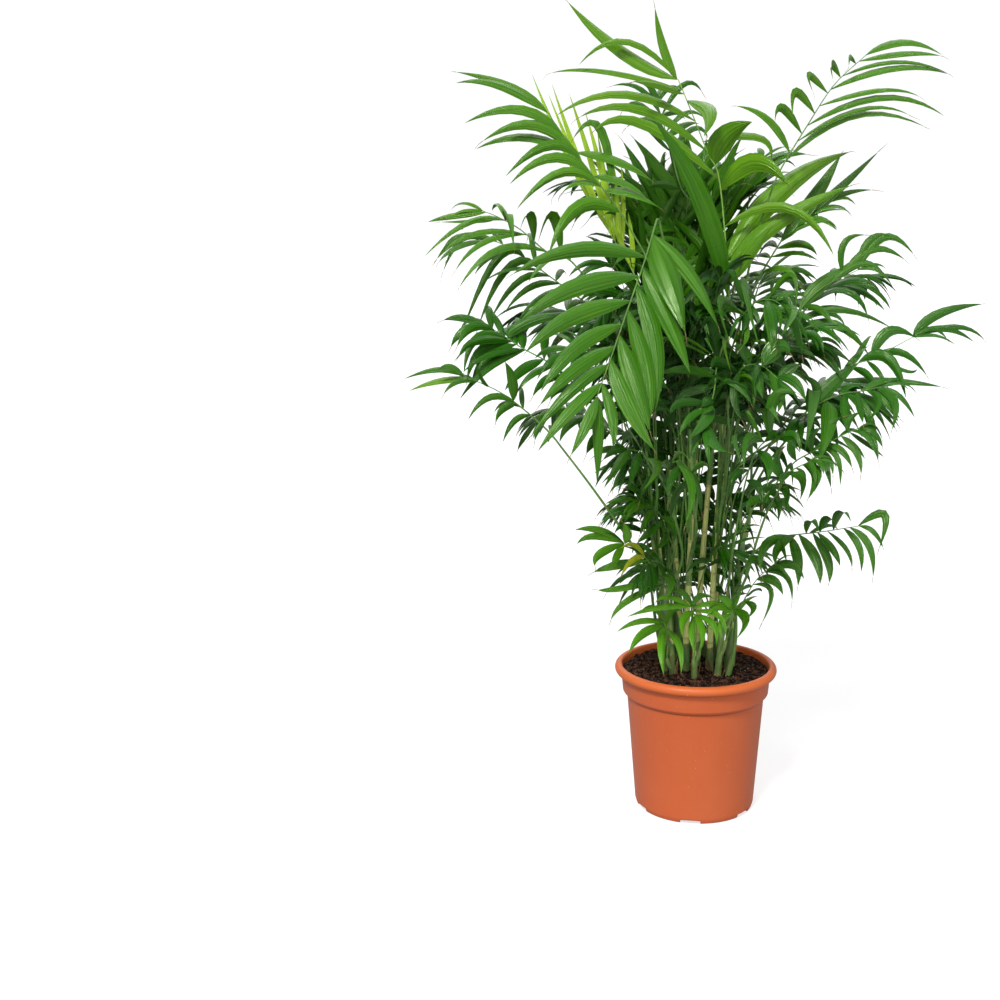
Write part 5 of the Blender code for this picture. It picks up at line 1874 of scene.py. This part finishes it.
def lathe(name, profile, steps, material):
    """A profile of (radius, height), outer side running down, turned into a closed shape about Z."""
    points, faces, rings = [], [], []
    for radius, height in profile:
        if radius < 1e-6:
            rings.append([len(points)])
            points.append((0.0, 0.0, height))
            continue
        rings.append(list(range(len(points), len(points) + steps)))
        points += ring_points(radius, height, steps)
    for inner, outer in zip(rings, rings[1:]):
        for i in range(steps):
            corners = [(inner, i), (outer, i), (outer, (i + 1) % steps), (inner, (i + 1) % steps)]
            faces.append(tuple(dict.fromkeys(ring[place % len(ring)] for ring, place in corners)))
    piece = mesh_piece(name, points, faces, material)
    shape = bmesh.new()
    shape.from_mesh(piece.data)
    bmesh.ops.recalc_face_normals(shape, faces=shape.faces)
    shape.to_mesh(piece.data)
    shape.free()
    return piece


def pot_material(pot):
    """Satin plastic with paler patches, fine grain, scuffs and pale specks, a lighter rim that is partly a
    painted highlight, and painted shadow lines under the bead and at the shoulder below the collar.
    """
    made, tree, shader = new_material("pot_plastic", 0.42, 0.32)
    place = object_place(tree)
    cloud = noisy(tree, place, 9.0, 4.0, 0.6)
    grain = noisy(tree, place, 620.0, 2.0, 0.6)
    scuff = noisy(tree, place, 1.0, 5.0, 0.7, (26.0, 26.0, 190.0))
    speck = tree.nodes.new("ShaderNodeTexVoronoi")
    set_inputs(speck, Scale=95.0, Randomness=1.0)
    link(tree, (place, speck.inputs["Vector"]))
    colour = patched(tree, pot.colour, cloud, 0.38, 0.70, 0.55, pot.faded)
    colour = patched(tree, colour, scuff, 0.66, 0.74, 0.16, (0.78, 0.42, 0.28))
    specks = ranged(tree, speck.outputs["Distance"], 0.035, 0.075, 0.30, 0.0)
    colour = mixed(tree, specks, colour, (0.80, 0.50, 0.36))
    split = tree.nodes.new("ShaderNodeSeparateXYZ")
    link(tree, (place, split.inputs[0]))
    # Partly painted highlight: the rolled rim is painted lighter and more orange from the bead upward
    rim = ranged(tree, split.outputs["Z"], pot.height - BEAD_HEIGHT, pot.height - BEAD_HEIGHT * 0.7, 0.0, 0.8)
    colour = mixed(tree, rim, colour, pot.rim_colour_and_highlight)
    # Painted shadow: dark lines just under the bead and at the shoulder below the collar, where shade falls
    shadow_creases = (pot.height - BEAD_HEIGHT - CREASE_SHADOW_DROP, collar_foot_of(pot) - SHOULDER_DROP + CREASE_SHADOW_RISE)
    for shadow_crease in shadow_creases:
        away = computed(tree, "ABSOLUTE", computed(tree, "SUBTRACT", split.outputs["Z"], shadow_crease))
        shade = ranged(tree, away, 0.0003, 0.0013, 0.75, 0.0)
        colour = mixed(tree, shade, colour, scaled(pot.colour, 0.35))
    worn = plus(tree, cloud, times(tree, scuff, 0.6))
    rough = ranged(tree, worn, 0.5, 1.1, 0.36, 0.52)
    link(tree, (colour, shader.inputs["Base Color"]), (rough, shader.inputs["Roughness"]))
    bumped(tree, shader, plus(tree, grain, times(tree, scuff, 1.2)), 0.14, 0.0006)
    return made


def make_pot(pot):
    """The turned pot with its notches, and the pip that moulding left on its rim."""
    plastic = pot_material(pot)
    shell = lathe("pot_shell", pot_profile(pot), pot.steps, plastic)
    cutters = []
    for index in range(NOTCH_COUNT):
        heading = radians(NOTCH_FIRST_HEADING + 360 / NOTCH_COUNT * index)
        cube = bmesh.new()
        bmesh.ops.create_cube(cube, size=1.0)
        size = Matrix.Diagonal((2 * NOTCH_DEPTH, NOTCH_WIDTH, 2 * NOTCH_HEIGHT, 1.0))
        spot = Matrix.Translation((FOOT_RADIUS * cos(heading), FOOT_RADIUS * sin(heading), 0.0))
        bmesh.ops.transform(cube, matrix=spot @ Matrix.Rotation(heading, 4, "Z") @ size, verts=cube.verts)
        cutters.append(placed(f"notch_{index}", mesh_of(f"notch_{index}", cube, plastic)))
        notch = shell.modifiers.new(f"notch_{index}", "BOOLEAN")
        notch.operation = "DIFFERENCE"
        notch.object = cutters[-1]
    mesh = plain_mesh(shell)
    for cutter in cutters:
        bpy.data.objects.remove(cutter, do_unlink=True)
    mesh.set_sharp_from_angle(angle=SHARP_ANGLE)
    settle(placed("pot_shell", mesh), "pot", "pot")
    make_pip(pot, plastic)


def make_pip(pot, plastic):
    """A low moulded dot on the front of the rim."""
    heading = radians(PIP_HEADING)
    out = BEAD_RADIUS - PIP_SUNK
    dot = bmesh.new()
    bmesh.ops.create_icosphere(dot, subdivisions=2, radius=PIP_RADIUS)
    spot = (out * cos(heading), out * sin(heading), pot.height - BEAD_HEIGHT * PIP_DROP)
    bmesh.ops.translate(dot, vec=spot, verts=dot.verts)
    mesh = mesh_of("pot_pip", dot, plastic)
    mesh.shade_smooth()
    settle(placed("pot_pip", mesh), "pot")


def soil_radius(pot):
    """The soil's radius at the top of its edge."""
    share = (SOIL_TOP + SOIL_HEAP - SOIL_EDGE_DROP - collar_foot_of(pot)) / COLLAR_HEIGHT
    return COLLAR_FOOT_RADIUS + (COLLAR_RADIUS - COLLAR_FOOT_RADIUS) * min(share, 1.0) - pot.wall - SEAT_GAP


def soil_height(x, y, edge):
    """The soil's uneven surface at a place."""
    radius = hypot(x, y)
    slope = max(0.0, (radius - SOIL_FLAT_RADIUS) / (edge - SOIL_FLAT_RADIUS))
    lumps = noise.fractal(Vector((x * LUMP_SCALE, y * LUMP_SCALE, 0.3)), 0.9, 2.1, 4)
    grains = noise.noise(Vector((x * GRAIN_SCALE, y * GRAIN_SCALE, 5.7)))
    drop = SOIL_EDGE_DROP * 0.5 * min(slope, 1.0)
    return SOIL_TOP + SOIL_HEAP - drop + LUMP_HEIGHT * lumps + GRAIN_HEIGHT * grains - SOIL_SETTLED


def peat_material(name, colour, scale):
    made, tree, shader = new_material(name, 0.92, 0.12)
    place = object_place(tree)
    clods = noisy(tree, place, scale, 3.0, 0.6)
    fibres = noisy(tree, place, 1.0, 4.0, 0.7, (900.0, 260.0, 500.0))
    shown = patched(tree, scaled(colour, 0.12), clods, 0.45, 0.58, 1.0, scaled(colour, 2.1))
    shown = patched(tree, shown, fibres, 0.66, 0.76, 0.75, scaled(colour, 4.2, 3.4, 2.6))
    rough = ranged(tree, clods, 0.3, 0.7, 0.72, 1.0)
    link(tree, (shown, shader.inputs["Base Color"]), (rough, shader.inputs["Roughness"]))
    bumped(tree, shader, plus(tree, clods, fibres), 0.8, 0.0012)
    return made


def make_soil(soil, pot):
    """The soil's body, loose crumbs on it and a few grains of perlite."""
    edge = soil_radius(pot)
    rings, steps = SOIL_RINGS, SOIL_STEPS
    points = [(0.0, 0.0, soil_height(0, 0, edge))]
    for ring in range(1, rings + 1):
        level = ring_points(edge * ring / rings, 0.0, steps)
        points += [(x, y, soil_height(x, y, edge)) for x, y, _ in level]
    floor = FLOOR_THICKNESS + SEAT_GAP
    gap = pot.wall + SEAT_GAP
    sides = (
        (COLLAR_FOOT_RADIUS - gap, collar_foot_of(pot)),
        (BODY_TOP_RADIUS - gap, collar_foot_of(pot) - SHOULDER_DROP),
        (body_radius(floor, pot) - gap, floor),
    )
    for radius, height in sides:
        points += ring_points(radius, height, steps)
    faces = [(0, 1 + i, 1 + (i + 1) % steps) for i in range(steps)]
    for low in range(1, len(points) - steps, steps):
        for i in range(steps):
            j = (i + 1) % steps
            faces.append((low + i, low + steps + i, low + steps + j, low + j))
    faces.append(tuple(reversed(range(len(points) - steps, len(points)))))
    bed = mesh_piece("soil_bed", points, faces, peat_material("peat", soil.colour, 190.0))
    settle(bed, "soil", "soil")
    surface = bpy.data.meshes.new("soil_surface")
    kept = 1 + (rings - 1) * steps
    surface.from_pydata(points[:kept], [], [face for face in faces if max(face) < kept])
    values = {
        "Density": soil.crumbs,
        "Radius": soil.crumb,
        "Seed": DRAW_SEED,
        "Material": peat_material("peat_crumb", soil.crumb_colour, 150.0),
    }
    settle(grown("soil_crumbs", surface, crumb_tree(), values), "soil")
    make_perlite(soil, edge)


def make_perlite(soil, edge):
    """Small white angular grains on the soil, most of them to the front right."""
    draws = Random(DRAW_SEED + 3)
    grains = bmesh.new()
    for _ in range(soil.perlite):
        radius = draws.uniform(0.0006, 0.0013)
        x, y = draws.uniform(0.02, 0.075), draws.uniform(-0.055, 0.02)
        spot = Matrix.Translation((x, y, soil_height(x, y, edge) + radius + PERLITE_ABOVE))
        turn = Matrix.Rotation(draws.uniform(0, pi), 4, (draws.random(), draws.random(), 1.0))
        depth, height = radius * draws.uniform(0.6, 1.0), radius * draws.uniform(0.5, 0.9)
        size = Matrix.Diagonal((radius, depth, height, 1.0))
        bmesh.ops.create_icosphere(grains, subdivisions=1, radius=1.0, matrix=spot @ turn @ size)
    made, tree, shader = new_material("perlite", 0.85, 0.3)
    place = object_place(tree)
    pits = noisy(tree, place, 1400.0, 3.0, 0.6)
    shown = patched(tree, soil.perlite_colour, pits, 0.4, 0.65, 0.6, PERLITE_PITS)
    link(tree, (shown, shader.inputs["Base Color"]))
    bumped(tree, shader, pits, 0.6, 0.0003)
    settle(placed("soil_perlite", mesh_of("soil_perlite", grains, made)), "soil")


# Stage


def make_camera():
    right, up, forward = camera_axes()
    camera = placed("camera", bpy.data.cameras.new("camera"))
    turn = Matrix((right, up, -forward)).transposed().to_4x4()
    camera.matrix_world = Matrix.Translation(CAMERA_PLACE) @ turn
    camera.data.sensor_width = SENSOR
    camera.data.lens = CAMERA_FOCAL / PICTURE_SIDE * SENSOR
    bpy.context.scene.camera = camera


def make_floor(stage):
    points = ring_points(FLOOR_RADIUS, -FLOOR_DROP, FLOOR_STEPS)
    made, tree, shader = new_material("floor", 0.85, 0.2)
    place = object_place(tree)
    cloud = noisy(tree, place, 3.0, 2.0, 0.5)
    shown = patched(tree, stage.floor, cloud, 0.3, 0.7, 1.0, scaled(stage.floor, 0.99))
    seen = tree.nodes.new("ShaderNodeLightPath").outputs["Is Camera Ray"]
    lift = times(tree, seen, stage.lift)
    link(tree, (shown, shader.inputs["Base Color"]), (lift, shader.inputs["Emission Strength"]))
    shader.inputs["Emission Color"].default_value = (1.0, 1.0, 1.0, 1.0)
    mesh_piece("floor", points, [tuple(range(FLOOR_STEPS))], made, smooth=False)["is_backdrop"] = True


def make_background(stage):
    """A pale studio all round, brightest at the horizon."""
    world = bpy.data.worlds.new("studio")
    world.use_nodes = True
    tree = world.node_tree
    background = tree.nodes["Background"]
    place, split = add_nodes(tree, "ShaderNodeTexCoord", "ShaderNodeSeparateXYZ")
    link(tree, (place.outputs["Generated"], split.inputs[0]))
    lighting = ranged(tree, split.outputs["Z"], -0.1, 0.8, stage.horizon, stage.zenith)
    seen = tree.nodes.new("ShaderNodeLightPath").outputs["Is Camera Ray"]
    strength = tree.nodes.new("ShaderNodeMix")
    link(
        tree,
        (seen, strength.inputs[0]),
        (lighting, strength.inputs[2]),
        (strength.outputs[0], background.inputs["Strength"]),
    )
    strength.inputs[3].default_value = BACKGROUND_SHOWN
    background.inputs["Color"].default_value = (1.0, 1.0, 1.0, 1.0)
    bpy.context.scene.world = world


def make_lights(stage):
    """A soft light from high on the left in front, and weak ones from the camera's side and from behind."""
    suns = (
        ("key", stage.key, stage.softness, KEY_TURN),
        ("fill", stage.fill, FILL_ANGLE, FILL_TURN),
        ("back", stage.back, FILL_ANGLE, BACK_TURN),
    )
    for name, strength, angle, turn in suns:
        light = bpy.data.lights.new(name, "SUN")
        light.energy, light.angle = strength, angle
        placed(name, light).rotation_euler = [radians(degrees) for degrees in turn]


class PALM_OT_stage(Operator):
    """Make the camera, floor, background and light"""

    bl_idname = "palm.stage"
    bl_label = "Stage"

    def execute(self, context):
        stage = context.scene.palm_stage
        make_camera()
        make_floor(stage)
        make_background(stage)
        make_lights(stage)
        context.scene.view_settings.view_transform = "Standard"
        return {"FINISHED"}


class PALM_OT_pot(Operator):
    """Make the pot with its rolled rim, collar, notches and pip"""

    bl_idname = "palm.pot"
    bl_label = "Pot"

    def execute(self, context):
        make_pot(context.scene.palm_pot)
        return {"FINISHED"}


class PALM_OT_soil(Operator):
    """Make the soil, its crumbs and its perlite"""

    bl_idname = "palm.soil"
    bl_label = "Soil"

    def execute(self, context):
        make_soil(context.scene.palm_soil, context.scene.palm_pot)
        return {"FINISHED"}


class PALM_OT_canes(Operator):
    """Make the ringed canes"""

    bl_idname = "palm.canes"
    bl_label = "Canes"

    def execute(self, context):
        make_canes(context.scene.palm_stem)
        return {"FINISHED"}


class PALM_OT_sheaths(Operator):
    """Make the green and the dry sheaths"""

    bl_idname = "palm.sheaths"
    bl_label = "Sheaths"

    def execute(self, context):
        make_sheaths(context.scene.palm_stem)
        return {"FINISHED"}


class PALM_OT_petioles(Operator):
    """Make the petioles and rachises of all fronds"""

    bl_idname = "palm.petioles"
    bl_label = "Petioles"

    def execute(self, context):
        make_petioles(context.scene.palm_stem)
        return {"FINISHED"}


class PALM_OT_leaflets(Operator):
    """Make all leaflets and the dry threads at their tips"""

    bl_idname = "palm.leaflets"
    bl_label = "Leaflets"

    def execute(self, context):
        make_leaflets(context.scene.palm_leaf, context.scene.palm_stem)
        return {"FINISHED"}


OPERATORS = (
    PALM_OT_stage,
    PALM_OT_pot,
    PALM_OT_soil,
    PALM_OT_canes,
    PALM_OT_sheaths,
    PALM_OT_petioles,
    PALM_OT_leaflets,
)


class PALM_PT_pieces(Panel):
    """The palm's pieces and what can be changed on them"""

    bl_idname = "PALM_PT_pieces"
    bl_label = "Parlour palm"
    bl_space_type = "VIEW_3D"
    bl_region_type = "UI"
    bl_category = "Palm"

    def draw(self, context):
        for operator in OPERATORS:
            self.layout.operator(operator.bl_idname)
        for name, group in LOOK_GROUPS.items():
            box = self.layout.box()
            box.label(text=group.__doc__)
            for field in group.__annotations__:
                box.prop(getattr(context.scene, name), field)


def register():
    for group in LOOK_GROUPS.values():
        bpy.utils.register_class(group)
    for name, group in LOOK_GROUPS.items():
        setattr(bpy.types.Scene, name, PointerProperty(type=group))
    for operator in OPERATORS:
        bpy.utils.register_class(operator)
    bpy.utils.register_class(PALM_PT_pieces)


def unregister():
    bpy.utils.unregister_class(PALM_PT_pieces)
    for operator in reversed(OPERATORS):
        bpy.utils.unregister_class(operator)
    for name, group in LOOK_GROUPS.items():
        delattr(bpy.types.Scene, name)
        bpy.utils.unregister_class(group)


def main():
    register()
    for operator in OPERATORS:
        getattr(bpy.ops.palm, operator.bl_idname.split(".")[1])()
    boxes = {"cad": cad_box, "visual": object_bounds()}
    {name: [list(corner) for corner in box] for name, box in boxes.items()}


if __name__ == "__main__":
    main()
